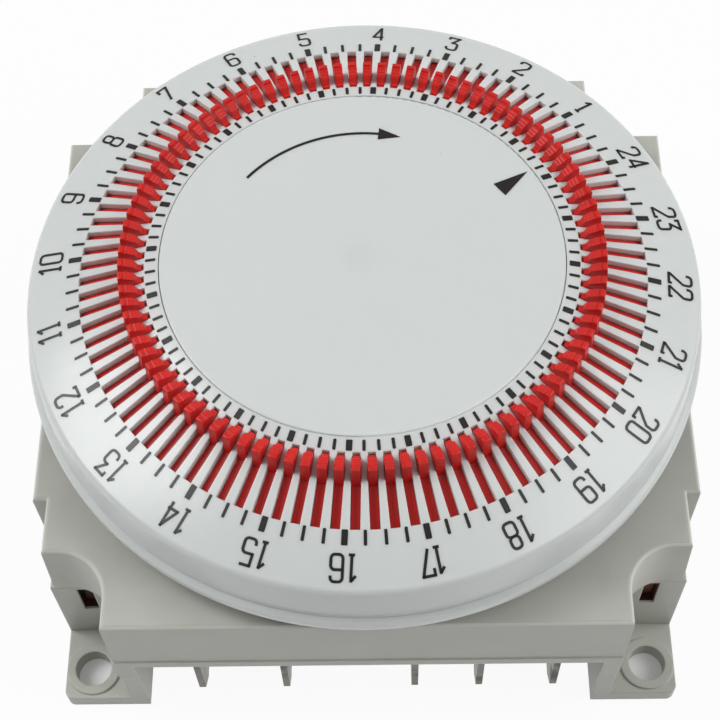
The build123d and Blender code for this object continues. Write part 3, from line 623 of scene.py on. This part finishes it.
def cone_place(piece, radius, reach, angle):
    """A flat frame on the dial's cone: X along the rim, Y outwards, Z out of the plastic."""
    low = surface_height(piece, radius + reach, angle)
    high = surface_height(piece, radius - reach, angle)
    slope = atan2(high - low, 2 * reach)
    middle = Vector((*polar(radius, angle), (low + high) / 2))
    return (Matrix.Translation(middle) @ Matrix.Rotation(angle - RIGHT_ANGLE, 4, "Z")
            @ Matrix.Rotation(-slope, 4, "X"))


# Share of the thin marks' width that is cut off a bar's corners
BAR_CORNER = 0.3


def ink_bar(width, length, ink):
    """A printed bar along Y with eased corners, as deep and as proud as the ink."""
    begin()
    middle = (ink.ink_height - ink.ink_depth) / 2
    bpy.ops.mesh.primitive_cube_add(size=1, location=(0, 0, middle))
    bar = bpy.context.object
    bar.scale = (width, length, ink.ink_height + ink.ink_depth)
    keep_place()
    pick_edges(bar, lambda first, last: abs(first.z - last.z) > ink.ink_height)
    bpy.ops.mesh.bevel(offset=BAR_CORNER * ink.quarter_mark_width, segments=BAR_SEGMENTS,
                       affect="EDGES")
    leave_edit()
    return bar


def spun_copies(piece, count):
    """Repeats the piece's mesh round the dial's axis."""
    choose([piece])
    edit_all()
    turn = FULL_TURN * (count - 1) / count
    bpy.ops.mesh.spin(dupli=True, steps=count - 1, angle=turn, center=MIDDLE, axis=UPRIGHT)
    leave_edit()
    return piece


def pick_edges(piece, wanted):
    """Selects the edges of a piece whose two ends pass a test."""
    choose([piece])
    bpy.ops.object.mode_set(mode="EDIT")
    bpy.ops.mesh.select_mode(type="EDGE")
    bpy.ops.mesh.select_all(action="DESELECT")
    leave_edit()
    for edge in piece.data.edges:
        edge.select = wanted(*(piece.data.vertices[index].co for index in edge.vertices))
    bpy.ops.object.mode_set(mode="EDIT")


def cone_height(size, radius):
    """Height of the printed cone at a radius."""
    return size.cone_height + (size.cone_radius - radius) * tan(size.cone_angle)


def drawn_outline(corners):
    """A closed line through (radius, height) corners in the XZ plane, left in edit mode."""
    begin()
    bpy.ops.mesh.primitive_plane_add(size=MM, location=(corners[0][0], 0, corners[0][1]))
    keep_place()
    ring = bpy.context.object
    bpy.ops.object.mode_set(mode="EDIT")
    bpy.ops.mesh.select_mode(type="VERT")
    bpy.ops.mesh.select_all(action="SELECT")
    bpy.ops.mesh.merge(type="CENTER")
    for here, after in zip(corners, corners[1:] + corners[:1]):
        step = Vector((after[0] - here[0], 0, after[1] - here[1]))
        extrude(step)
    bpy.ops.mesh.select_all(action="SELECT")
    bpy.ops.mesh.remove_doubles(threshold=WELD)
    return ring


def turned_ring(corners, steps, name):
    """A closed ring: an outline of (radius, height) corners turned round the dial's axis."""
    ring = drawn_outline(corners)
    bpy.ops.mesh.spin(steps=steps, angle=FULL_TURN, center=MIDDLE, axis=UPRIGHT)
    leave_edit()
    return joined([ring], name)


def cut_away(piece, blocks):
    """Cuts the blocks out of a piece and removes them."""
    choose([piece])
    bpy.ops.object.modifier_add(type="BOOLEAN")
    cut = piece.modifiers[-1]
    cut.operation = "DIFFERENCE"
    cut.solver = "EXACT"
    cut.object = blocks
    bpy.ops.object.modifier_apply(modifier=cut.name)
    bpy.data.objects.remove(blocks)


class TIMESWITCH_OT_housing(bpy.types.Operator):
    """Finish the base and the cover in warm grey plastic"""

    bl_idname = "timeswitch.housing"
    bl_label = "Housing finish"

    def execute(self, context):
        colours = context.scene.timeswitch_finish
        grey = housing_plastic(tuple(colours.housing))
        dress(["base_housing", "top_cover"], grey)
        return {"FINISHED"}


class TIMESWITCH_OT_dial(bpy.types.Operator):
    """Turn the dial ring, cut its slots and finish it and the pointer disc in white plastic"""

    bl_idname = "timeswitch.dial"
    bl_label = "Dial"

    def execute(self, context):
        size = context.scene.timeswitch_dial
        white = dial_plastic(tuple(context.scene.timeswitch_finish.dial))
        face = turned_ring(self.outline(size), size.steps, "dial_face")
        shoulder = cone_height(size, size.shoulder_radius)
        for radius, height, rounding in (
            (size.shoulder_radius, shoulder, size.shoulder_rounding),
            (size.lip_radius, size.lip_high - size.lip_slope, size.lip_rounding),
        ):
            pick_edges(face, lambda *ends: all(
                abs(end.xy.length - radius) + abs(end.z - height) < NEAR for end in ends))
            bpy.ops.mesh.bevel(offset=rounding, segments=RIM_SEGMENTS, affect="EDGES")
            leave_edit()
        cut_away(face, self.cutter(size, context.scene.timeswitch_print.zero_angle))
        bpy.ops.object.shade_smooth_by_angle(angle=DIAL_CREASE)
        coat(face, white)
        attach(face, "dial")
        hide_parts("dial_ring")
        dress(["pointer_disc"], white)
        return {"FINISHED"}

    def outline(self, size):
        """Corners of the dial's section, from the hole's upper edge round the lip and back."""
        inside = size.skirt_radius - size.skirt_wall
        return [
            (size.bore_radius, size.bore_height),
            (size.brow_radius, cone_height(size, size.brow_radius)),
            (size.shoulder_radius, cone_height(size, size.shoulder_radius)),
            (size.skirt_radius, size.lip_high),
            (size.lip_radius, size.lip_high - size.lip_slope),
            (size.lip_radius, size.lip_low),
            (inside, size.lip_low),
            (inside, cone_height(size, inside) - size.thickness),
            (size.web_outer, cone_height(size, size.web_outer) - size.thickness),
            (size.web_outer, size.web_low),
            (size.web_inner, size.web_low),
            (size.web_inner, size.web_high),
            (size.bore_radius, size.web_high),
        ]

    def cutter(self, size, zero_angle):
        """A ring of blocks, one for each slot."""
        begin()
        bpy.ops.mesh.primitive_cube_add(size=1)
        block = bpy.context.object
        length = size.slot_outer - size.taper_radius
        middle = Vector(((size.slot_outer + size.taper_radius) / 2, 0, size.web_low))
        shape = Matrix.Diagonal((length, size.slot_width, size.slot_reach, 1))
        settle(block, Matrix.Translation(middle) @ shape)
        pick_edges(block, lambda *ends: max(end.x for end in ends) < size.taper_radius + NEAR)
        inwards = Vector((size.slot_inner - size.taper_radius, 0, 0))
        extrude(inwards)
        bpy.ops.transform.resize(value=(1, size.taper_share, 1),
                                 center_override=(size.slot_inner, 0, size.web_low))
        settle(block, Matrix.Rotation(zero_angle + FULL_TURN / QUARTER_COUNT / 2, 4, "Z"))
        return joined([spun_copies(block, QUARTER_COUNT)], "slot_blocks")


# Half a grip ridge's length, as a share of the spacing of the ridges
RIDGE_HALF = 0.25


class TIMESWITCH_OT_tappets(bpy.types.Operator):
    """Model one tappet, copy it into every slot and finish the tappets in red plastic"""

    bl_idname = "timeswitch.tappets"
    bl_label = "Tappets"

    def execute(self, context):
        size = context.scene.timeswitch_tappet
        dial = context.scene.timeswitch_dial
        zero_angle = context.scene.timeswitch_print.zero_angle
        pattern = self.pattern(size, dial)
        red = tappet_plastic(tuple(context.scene.timeswitch_finish.tappet))
        coat(pattern, red)
        others = []
        for quarter in range(QUARTER_COUNT):
            twin = copy_of(pattern)
            angle = zero_angle + FULL_TURN * (quarter + 0.5) / QUARTER_COUNT
            settle(twin, Matrix.Rotation(angle, 4, "Z"))
            hour, rest = divmod(quarter, QUARTERS_PER_HOUR)
            if rest:
                others.append(twin)
                continue
            twin.name = f"red_tappet_{hour:02d}"
            self.place(twin, f"tappet_hour_{hour:02d}", f"tappet_hour_{hour:02d}")
        self.place(joined(others, "red_tappets"), "dial", "quarter_tappets")
        bpy.data.objects.remove(pattern)
        return {"FINISHED"}

    def place(self, piece, body, node):
        """Hangs a piece on its body, in place of a CAD node."""
        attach(piece, body)
        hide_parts(node)

    def outline(self, size, dial):
        """Corners of a tappet's side view, from the toe over the crest to the wing and the tail."""
        toe = cone_height(dial, size.toe_radius)
        foot = Vector((size.step_radius + size.step_run, toe + size.step_rise))
        crest = cone_height(dial, size.crest_radius) + size.crest_rise
        head = Vector((size.crest_radius - size.crest_half, crest))
        ramp = head - foot
        proud = Vector((-ramp.y, ramp.x)).normalized() * size.ridge_rise
        ridges = []
        for ridge in range(size.ridge_count):
            top = (ridge + 0.5) / size.ridge_count
            half = RIDGE_HALF / size.ridge_count
            ridges += [foot + ramp * (top - half), foot + ramp * top + proud,
                       foot + ramp * (top + half)]
        wire = cone_height(dial, size.wire_radius) - size.wire_depth
        wing_root = cone_height(dial, size.wing_start) - size.wing_depth
        wing_tip = cone_height(dial, size.wing_end) - size.wing_depth
        outer = [(size.wire_radius + reach, wire + rise) for reach, rise in (
            (size.tail_half, size.hub_half), (size.hub_half, size.tail_half),
            (size.hub_half, -size.tail_half), (size.tail_half, -size.hub_half),
            (size.tail_half, -size.tail_length))]
        inner = [(2 * size.wire_radius - radius, height) for radius, height in reversed(outer)]
        return [
            (size.toe_radius, toe - size.toe_depth),
            (size.toe_radius + size.toe_run, toe),
            (size.step_radius, toe),
            tuple(foot),
            *(tuple(point) for point in ridges),
            tuple(head),
            (size.crest_radius + size.crest_half, head.y - size.crest_half / 2),
            (size.wing_start, wing_root),
            (size.wing_end, wing_tip),
            (size.wing_end, wing_tip - size.wing_thickness),
            *outer,
            *inner,
        ]

    def pattern(self, size, dial):
        """A tappet in the XZ plane, with a narrow toe, rounded edges and an eye for the wire."""
        tappet = drawn_outline(self.outline(size, dial))
        bpy.ops.mesh.edge_face_add()
        bpy.ops.transform.translate(value=(0, -size.half_width, 0))
        across = Vector((0, 2 * size.half_width, 0))
        extrude(across)
        leave_edit()
        tappet = joined([tappet], "tappet_pattern")
        for reach, share in (
            (size.toe_radius, size.toe_share),
            (size.toe_radius + size.toe_run, size.toe_share),
            (size.step_radius, size.step_share),
            (size.step_radius + size.step_run, size.foot_share),
        ):
            pick_edges(tappet, lambda *ends: all(abs(end.x - reach) < NEAR for end in ends))
            bpy.ops.transform.resize(value=(1, share, 1), center_override=MIDDLE)
            leave_edit()
        crest = cone_height(dial, size.crest_radius) + size.crest_rise - size.crest_half
        pick_edges(tappet, lambda first, last: min(first.z, last.z) > crest)
        bpy.ops.mesh.bevel(offset=size.edge_radius, segments=TAPPET_SEGMENTS, affect="EDGES")
        leave_edit()
        begin()
        wire = cone_height(dial, size.wire_radius) - size.wire_depth
        bpy.ops.mesh.primitive_cylinder_add(
            vertices=EYE_SIDES, radius=size.eye_radius, depth=4 * size.half_width,
            location=(size.wire_radius, 0, wire), rotation=(RIGHT_ANGLE, 0, 0))
        cut_away(tappet, bpy.context.object)
        bpy.ops.object.shade_smooth_by_angle(angle=TAPPET_CREASE)
        return tappet


PLATE_GREY = (0.20, 0.20, 0.19)
NATURAL_ACETAL = (0.66, 0.62, 0.50)
ZINC = (0.50, 0.51, 0.53)
ZINC_STAIN = (0.36, 0.37, 0.38)
SILVER = (0.82, 0.81, 0.79)
SILVER_STAIN = (0.5, 0.48, 0.45)


class TIMESWITCH_OT_mechanism(bpy.types.Operator):
    """Finish the motor, the gears, the lever and the screws inside"""

    bl_idname = "timeswitch.mechanism"
    bl_label = "Mechanism finish"

    def execute(self, context):
        colours = context.scene.timeswitch_finish
        steel = tuple(colours.steel)
        brass = tuple(colours.brass)
        white = tuple(colours.dial)
        dress(["tappet_carrier", "dial_hub"],
              plain_moulding("carrier_moulding", shade(white, 0.95), roughness=0.42))
        dress(["mechanism_plate"],
              plain_moulding("mechanism_moulding", PLATE_GREY, roughness=0.5))
        dress(["dial_gear", "arbor_wheel", "switch_slider", "feeler_lever", "lever_arm"],
              plain_moulding("gear_moulding", NATURAL_ACETAL, roughness=0.4))
        dress(["motor"],
              worn_metal("motor_zinc", ZINC, ZINC_STAIN, roughness=0.42, streak=0.4))
        dress(["motor_pinion", "dial_pinion"],
              worn_metal("pinion_brass", shade(brass, 1.3), shade(brass, 0.8), roughness=0.28,
                         streak=0.2))
        dress(["plate_screws", "motor_screws", "motor_shaft", "arbor", "centre_post", "post_clip",
               "tappet_wire", "hub_screws", "clutch_spring", "lever_pin"],
              worn_metal("bright_steel", steel, shade(steel, 0.7), roughness=0.24, streak=0.3))
        return {"FINISHED"}


class TIMESWITCH_OT_terminals(bpy.types.Operator):
    """Finish the terminals, the contact blade and the contacts"""

    bl_idname = "timeswitch.terminals"
    bl_label = "Terminal finish"

    def execute(self, context):
        brass = tuple(context.scene.timeswitch_finish.brass)
        dress(["line_terminal", "neutral_terminal", "common_terminal", "open_terminal",
               "closed_terminal", "contact_blade"],
              worn_metal("terminal_brass", brass, shade(brass, 0.45), roughness=0.36, streak=0.15))
        dress(["moving_contact", "open_contact", "closed_contact"],
              worn_metal("contact_silver", SILVER, SILVER_STAIN, roughness=0.3, streak=1.0))
        return {"FINISHED"}


# Share of a mark's or a digit's length, each way, over which the cone's slope is taken
MARK_REACH = 0.45
NUMBER_REACH = 0.4


class TIMESWITCH_OT_marks(bpy.types.Operator):
    """Print the quarter-hour marks outside and inside the ring of slots"""

    bl_idname = "timeswitch.marks"
    bl_label = "Quarter-hour marks"

    def execute(self, context):
        ink = context.scene.timeswitch_print
        rows = (
            ("outer", ink.outer_mark_start, ink.outer_mark_end),
            ("inner", ink.inner_mark_start, ink.inner_mark_end),
        )
        for row, start, end in rows:
            for kind, width, numbers in (
                ("hour", ink.hour_mark_width, [0]),
                ("quarter", ink.quarter_mark_width, range(1, QUARTERS_PER_HOUR)),
            ):
                bars = []
                for number in numbers:
                    bar = ink_bar(width, end - start, ink)
                    angle = ink.zero_angle + FULL_TURN * number / QUARTER_COUNT
                    reach = (end - start) * MARK_REACH
                    settle(bar, cone_place("dial_face", (start + end) / 2, reach, angle))
                    bars.append(bar)
                marks = spun_copies(joined(bars, f"{row}_{kind}_marks"), HOUR_COUNT)
                marks = joined([marks], marks.name)
                coat(marks, ink_material(context))
                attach(marks, "dial")
        return {"FINISHED"}


# Strokes of the digits on a box one wide and one high: points, rounded corners, closed or open
DIGIT_STROKES = {
    "0": [([(0, 0), (1, 0), (1, 1), (0, 1)], (0, 1, 2, 3), True)],
    "1": [([(0.56, 1), (0.56, 0)], (), False), ([(0.60, 0.98), (-0.06, 0.755)], (), False),
          ([(0.16, 0), (0.98, 0)], (), False)],
    "2": [([(0, 0.76), (0, 1), (1, 1), (1, 0.62), (0, 0.05), (0, 0), (1, 0), (1, 0.13)],
           (1, 2, 3), False)],
    "3": [([(0, 0.83), (0, 1), (1, 1), (0.4, 0.57), (1, 0.57), (1, 0), (0, 0), (0, 0.23)],
           (4, 5, 6), False)],
    "4": [([(0.78, 0), (0.78, 1), (0, 0.27), (1, 0.27)], (), False)],
    "5": [([(0.95, 1), (0.06, 1), (0.06, 0.56), (1, 0.56), (1, 0), (0, 0), (0, 0.22)],
           (3, 4, 5), False)],
    "6": [([(1, 0.78), (1, 1), (0, 1), (0, 0), (1, 0), (1, 0.56), (0, 0.56)],
           (1, 2, 3, 4, 5), False)],
    "7": [([(0, 0.74), (0, 1), (1, 1), (0.25, 0)], (), False)],
    "8": [([(0, 0), (1, 0), (1, 0.54), (0, 0.54)], (0, 1, 2, 3), True),
          ([(0.08, 0.54), (0.92, 0.54), (0.92, 1), (0.08, 1)], (0, 1, 2, 3), True)],
    "9": [([(0, 0.22), (0, 0), (1, 0), (1, 1), (0, 1), (0, 0.44), (1, 0.44)],
           (1, 2, 3, 4, 5), False)],
}

# Numbers that stand a little off: the change of their gap and their move along the rim
NUDGES = {"17": (-0.3 * MM, 0.22 * MM)}

# How far two lines run past a sharp corner, as a share of the stroke's width
OVERLAP_SHARE = 0.35


def digit_box(digit, ink):
    """Width of a digit's box."""
    return ink.one_width if digit == "1" else ink.digit_width


def swept_line(points, radius, ink):
    """A line of ink along a path, with every inner corner of the path rounded."""
    way = (points[1] - points[0]).normalized()
    begin()
    bpy.ops.mesh.primitive_plane_add(size=1)
    line = bpy.context.object
    section = Matrix.Diagonal((ink.stroke, ink.ink_height + ink.ink_depth, 1, 1))
    upright = Matrix.Rotation(RIGHT_ANGLE, 4, "X")
    facing = Matrix.Rotation(atan2(way.y, way.x) + RIGHT_ANGLE, 4, "Z") @ upright
    settle(line, Matrix.Translation(points[0]) @ facing @ section)
    edit_all()
    here = points[0]
    for corner, after in zip(points[1:], points[2:]):
        next_way = (after - corner).normalized()
        turn = way.xy.angle_signed(next_way.xy)
        reach = radius * tan(abs(turn) / 2)
        bend = corner - way * reach
        extrude(bend - here)
        hand = 1 if turn > 0 else -1
        side = Vector((hand * way.y, -hand * way.x, 0))
        bpy.ops.mesh.spin(steps=CORNER_STEPS, angle=abs(turn), center=bend + side * radius,
                          axis=(0, 0, hand))
        here = corner + next_way * reach
        way = next_way
    extrude(points[-1] - here)
    leave_edit()
    return line


def drawn_stroke(points, rounded, closed, ink):
    """A stroke of ink: its path parts at each sharp corner, where the two lines overlap."""
    overlap = OVERLAP_SHARE * ink.stroke
    if closed:
        middle = (points[0] + points[-1]) / 2
        past = (points[0] - points[-1]).normalized() * overlap
        points = [middle, *points, middle + past]
        rounded = [number + 1 for number in rounded]
    lines = []
    run = [points[0]]
    for number, point in enumerate(points[1:], start=1):
        way = (point - points[number - 1]).normalized()
        last = number == len(points) - 1
        if number in rounded:
            run.append(point)
            continue
        run.append(point if last else point + way * overlap)
        lines.append(swept_line(run, ink.corner_radius, ink))
        if not last:
            next_way = (points[number + 1] - point).normalized()
            run = [point - next_way * overlap]
    return lines


def drawn_digit(digit, ink):
    """A digit with its lower left corner at the origin, lying in the XY plane."""
    margin = ink.stroke / 2
    wide = digit_box(digit, ink) - ink.stroke
    high = ink.number_height - ink.stroke
    middle = (ink.ink_height - ink.ink_depth) / 2
    strokes = []
    for points, rounded, closed in DIGIT_STROKES[digit]:
        path = [Vector((margin + x * wide, margin + y * high, middle)) for x, y in points]
        strokes += drawn_stroke(path, rounded, closed, ink)
    return joined(strokes, f"digit_{digit}")


class TIMESWITCH_OT_numbers(bpy.types.Operator):
    """Print the hour numbers round the dial"""

    bl_idname = "timeswitch.numbers"
    bl_label = "Hour numbers"

    def execute(self, context):
        ink = context.scene.timeswitch_print
        digits = {digit: drawn_digit(digit, ink) for digit in DIGIT_STROKES}
        numbers = []
        for hour in range(1, HOUR_COUNT + 1):
            name = str(hour)
            closer, along = NUDGES.get(name, (0, 0))
            gap = ink.digit_gap + closer
            total = sum(digit_box(digit, ink) for digit in name) + gap * (len(name) - 1)
            angle = ink.zero_angle + FULL_TURN * hour / HOUR_COUNT
            reach = ink.number_height * NUMBER_REACH
            place = cone_place("dial_face", ink.number_radius, reach, angle)
            left = along - total / 2
            for digit in name:
                twin = copy_of(digits[digit])
                settle(twin, place @ Matrix.Translation((left, -ink.number_height / 2, 0)))
                left += digit_box(digit, ink) + gap
                numbers.append(twin)
        for digit in digits.values():
            bpy.data.objects.remove(digit)
        printed = joined(numbers, "hour_numbers")
        coat(printed, ink_material(context))
        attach(printed, "dial")
        return {"FINISHED"}


def ink_triangle(corners, ink, top):
    """A printed triangle on the disc, from its three corners."""
    begin()
    bpy.ops.mesh.primitive_circle_add(vertices=3, radius=ink.arrow_head_width, fill_type="NGON")
    shape = bpy.context.object
    for vertex, corner in zip(shape.data.vertices, corners):
        vertex.co = (*corner, top - ink.ink_depth)
    edit_all()
    rise = Vector((0, 0, ink.ink_height + ink.ink_depth))
    extrude(rise)
    leave_edit()
    return shape


# Tip and two foot corners of the time pointer, from the disc's middle
POINTER_CORNERS = ((19.13 * MM, 11.24 * MM), (15.14 * MM, 9.54 * MM), (16.44 * MM, 7.9 * MM))


class TIMESWITCH_OT_disc_print(bpy.types.Operator):
    """Print the turning arrow and the time pointer on the disc"""

    bl_idname = "timeswitch.disc_print"
    bl_label = "Disc print"

    def execute(self, context):
        ink = context.scene.timeswitch_print
        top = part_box("pointer_disc")[1].z
        begin()
        bpy.ops.mesh.primitive_plane_add(size=1)
        line = bpy.context.object
        section = Matrix.Diagonal((ink.arrow_width, ink.ink_height + ink.ink_depth, 1, 1))
        upright = Matrix.Rotation(RIGHT_ANGLE, 4, "X")
        rise = (ink.ink_height - ink.ink_depth) / 2
        tail = Matrix.Translation((ink.arrow_radius, 0, top + rise))
        settle(line, Matrix.Rotation(ink.arrow_tail_angle, 4, "Z") @ tail @ upright @ section)
        edit_all()
        sweep = ink.arrow_tail_angle - ink.arrow_neck_angle
        bpy.ops.mesh.spin(steps=ARROW_STEPS, angle=sweep, center=MIDDLE, axis=UPRIGHT)
        leave_edit()
        half_head = ink.arrow_head_width / 2
        head = ink_triangle([polar(ink.arrow_radius + half_head, ink.arrow_neck_angle),
                             polar(ink.arrow_radius - half_head, ink.arrow_neck_angle),
                             polar(ink.arrow_radius, ink.arrow_tip_angle)], ink, top)
        arrow = joined([line, head], "turning_arrow")
        pointer = joined([ink_triangle(POINTER_CORNERS, ink, top)], "time_pointer")
        for piece in (arrow, pointer):
            coat(piece, ink_material(context))
            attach(piece, "case")
        return {"FINISHED"}


# Soft boxes: name, setting of the power, way from the dial, distance and side in metres
SOFT_BOXES = (
    ("key_box", "key_power", Vector((-0.643, 0.085, 0.762)), 0.56, 0.27),
    ("fill_box", "fill_power", Vector((0.75, -0.1, 0.65)), 0.55, 0.40),
)
FLOOR_RADIUS = 3.0
FLOOR_SIDES = 96
FLOOR_GAP = 0.1 * MM
FLOOR_DARK = (0.80, 0.80, 0.80)
FLOOR_LIGHT = (0.84, 0.84, 0.84)
WHITE = (1.0, 1.0, 1.0)

# The floor glows white but for a part that keeps the shadows, and less below the ears' holes
EAR_HOLE = (34.0 * MM, 33.8 * MM, 0.0)
EAR_HOLE_EDGE = (2.6 * MM, 3.2 * MM)
GLOW_BELOW_HOLE = 0.12
GLOW = 0.94

# Between these values of a direction's Y the sky's light grows from the front share to full
SKY_FRONT = -0.8
SKY_BACK = 0.3
SENSOR_WIDTH = 36.0
NEAREST_SEEN = 5 * MM


class TIMESWITCH_OT_stage(bpy.types.Operator):
    """Set up the floor, the soft light and the camera"""

    bl_idname = "timeswitch.stage"
    bl_label = "Stage"

    def execute(self, context):
        stage = context.scene.timeswitch_stage
        self.floor()
        self.sky(stage.sky_strength, stage.front_share)
        aim = Vector((0, 0, context.scene.timeswitch_dial.cone_height))
        for name, power, way, distance, side in SOFT_BOXES:
            self.soft_box(name, aim, way, distance, side, getattr(stage, power))
        self.camera(stage, aim)
        context.scene.view_settings.view_transform = "Standard"
        return {"FINISHED"}

    def floor(self):
        """Pale paper just below the ears, shown white to the camera and in reflections."""
        begin()
        bpy.ops.mesh.primitive_circle_add(
            vertices=FLOOR_SIDES, radius=FLOOR_RADIUS, fill_type="NGON",
            location=(0, 0, cad_box[0].z - FLOOR_GAP))
        floor = bpy.context.object
        floor.name = "floor"
        keep_place()
        paint = Paint("floor_paper", Roughness=0.9)
        cloud = paint.noise(120 * MM)
        paint.finish(paint.mix(cloud, FLOOR_DARK, FLOOR_LIGHT), 0.9 + (cloud - 0.5) * 0.1)
        quadrant = paint.vector("ABSOLUTE", paint.place, MIDDLE)
        offset = paint.vector("SUBTRACT", quadrant, EAR_HOLE)
        flat = paint.vector("MULTIPLY", offset, (1.0, 1.0, 0.0))
        reach = paint.node("ShaderNodeVectorMath", {"operation": "LENGTH"}, {0: flat}, "Value")
        share = paint.ease(reach, *EAR_HOLE_EDGE, bottom=GLOW_BELOW_HOLE, top=GLOW)
        glow = paint.node("ShaderNodeEmission", {}, {})
        lit = Value(paint, paint.shader.outputs[0])
        shown = paint.blend(paint.rays("Is Camera Ray", "Is Glossy Ray") * share, lit, glow)
        paint.feed(paint.tree.nodes["Material Output"].inputs["Surface"], shown)
        coat(floor, paint.material)

    def sky(self, strength, front_share):
        """White light from all sides, less of it from the viewer's side."""
        world = bpy.data.worlds.new("studio")
        bpy.context.scene.world = world
        world.use_nodes = True
        nodes = Nodes(world.node_tree)
        way = nodes.node("ShaderNodeTexCoord", {}, {}, "Generated")
        share = nodes.ease(nodes.axis(way, "Y"), SKY_FRONT, SKY_BACK, bottom=front_share)
        light = nodes.node("ShaderNodeBackground", {},
                           {"Color": WHITE, "Strength": share * strength})
        white = nodes.node("ShaderNodeBackground", {}, {"Color": WHITE, "Strength": 1.0})
        shown = nodes.blend(nodes.rays("Is Camera Ray"), light, white)
        nodes.feed(world.node_tree.nodes["World Output"].inputs["Surface"], shown)

    def soft_box(self, name, aim, way, distance, side, power):
        """A square lamp that faces the dial."""
        lamp = bpy.data.lights.new(name, "AREA")
        lamp.shape = "SQUARE"
        lamp.size = side
        lamp.energy = power
        box = bpy.data.objects.new(name, lamp)
        bpy.context.scene.collection.objects.link(box)
        box.location = aim + way.normalized() * distance
        box.rotation_euler = (-way).to_track_quat("-Z", "Y").to_euler()

    def camera(self, stage, aim):
        """The camera, turned and shifted to the photograph's framing."""
        sight = Vector((-sin(stage.azimuth) * cos(stage.elevation),
                        cos(stage.azimuth) * cos(stage.elevation), -sin(stage.elevation)))
        right = Vector((cos(stage.azimuth), sin(stage.azimuth), 0))
        up = right.cross(sight)
        turned_right = right * cos(stage.roll) + up * sin(stage.roll)
        turned_up = up * cos(stage.roll) - right * sin(stage.roll)
        view = bpy.data.cameras.new("view")
        view.sensor_width = SENSOR_WIDTH
        view.lens = stage.lens
        view.clip_start = NEAREST_SEEN
        eye = bpy.data.objects.new("view", view)
        bpy.context.scene.collection.objects.link(eye)
        turn = Matrix((turned_right, turned_up, -sight)).transposed().to_4x4()
        shift = turned_right * stage.aim_right + turned_up * stage.aim_up
        spot = aim - sight * stage.distance - shift
        eye.matrix_world = Matrix.Translation(spot) @ turn
        bpy.context.scene.camera = eye


OPERATORS = (
    TIMESWITCH_OT_housing,
    TIMESWITCH_OT_dial,
    TIMESWITCH_OT_tappets,
    TIMESWITCH_OT_mechanism,
    TIMESWITCH_OT_terminals,
    TIMESWITCH_OT_marks,
    TIMESWITCH_OT_numbers,
    TIMESWITCH_OT_disc_print,
    TIMESWITCH_OT_stage,
)

GROUPS = {
    "timeswitch_print": TIMESWITCH_PG_print,
    "timeswitch_dial": TIMESWITCH_PG_dial,
    "timeswitch_tappet": TIMESWITCH_PG_tappet,
    "timeswitch_finish": TIMESWITCH_PG_finish,
    "timeswitch_stage": TIMESWITCH_PG_stage,
}


class TIMESWITCH_PT_panel(bpy.types.Panel):
    """Lists the steps that finish the time switch"""

    bl_idname = "TIMESWITCH_PT_panel"
    bl_label = "Time switch"
    bl_space_type = "VIEW_3D"
    bl_region_type = "UI"
    bl_category = "Time switch"

    def draw(self, context):
        for operator in OPERATORS:
            self.layout.operator(operator.bl_idname)
        for group in GROUPS:
            settings = getattr(context.scene, group)
            for name in settings.__annotations__:
                self.layout.prop(settings, name)


def register():
    """Makes the settings, the operators and the panel known."""
    for group, kind in GROUPS.items():
        bpy.utils.register_class(kind)
        setattr(bpy.types.Scene, group, bpy.props.PointerProperty(type=kind))
    for kind in (*OPERATORS, TIMESWITCH_PT_panel):
        bpy.utils.register_class(kind)


def unregister():
    """Removes what register made known."""
    for kind in (TIMESWITCH_PT_panel, *reversed(OPERATORS)):
        bpy.utils.unregister_class(kind)
    for group, kind in GROUPS.items():
        delattr(bpy.types.Scene, group)
        bpy.utils.unregister_class(kind)


def main():
    """Runs every step in order."""
    register()
    for operator in OPERATORS:
        family, step = operator.bl_idname.split(".")
        getattr(getattr(bpy.ops, family), step)()


if __name__ == "__main__":
    main()
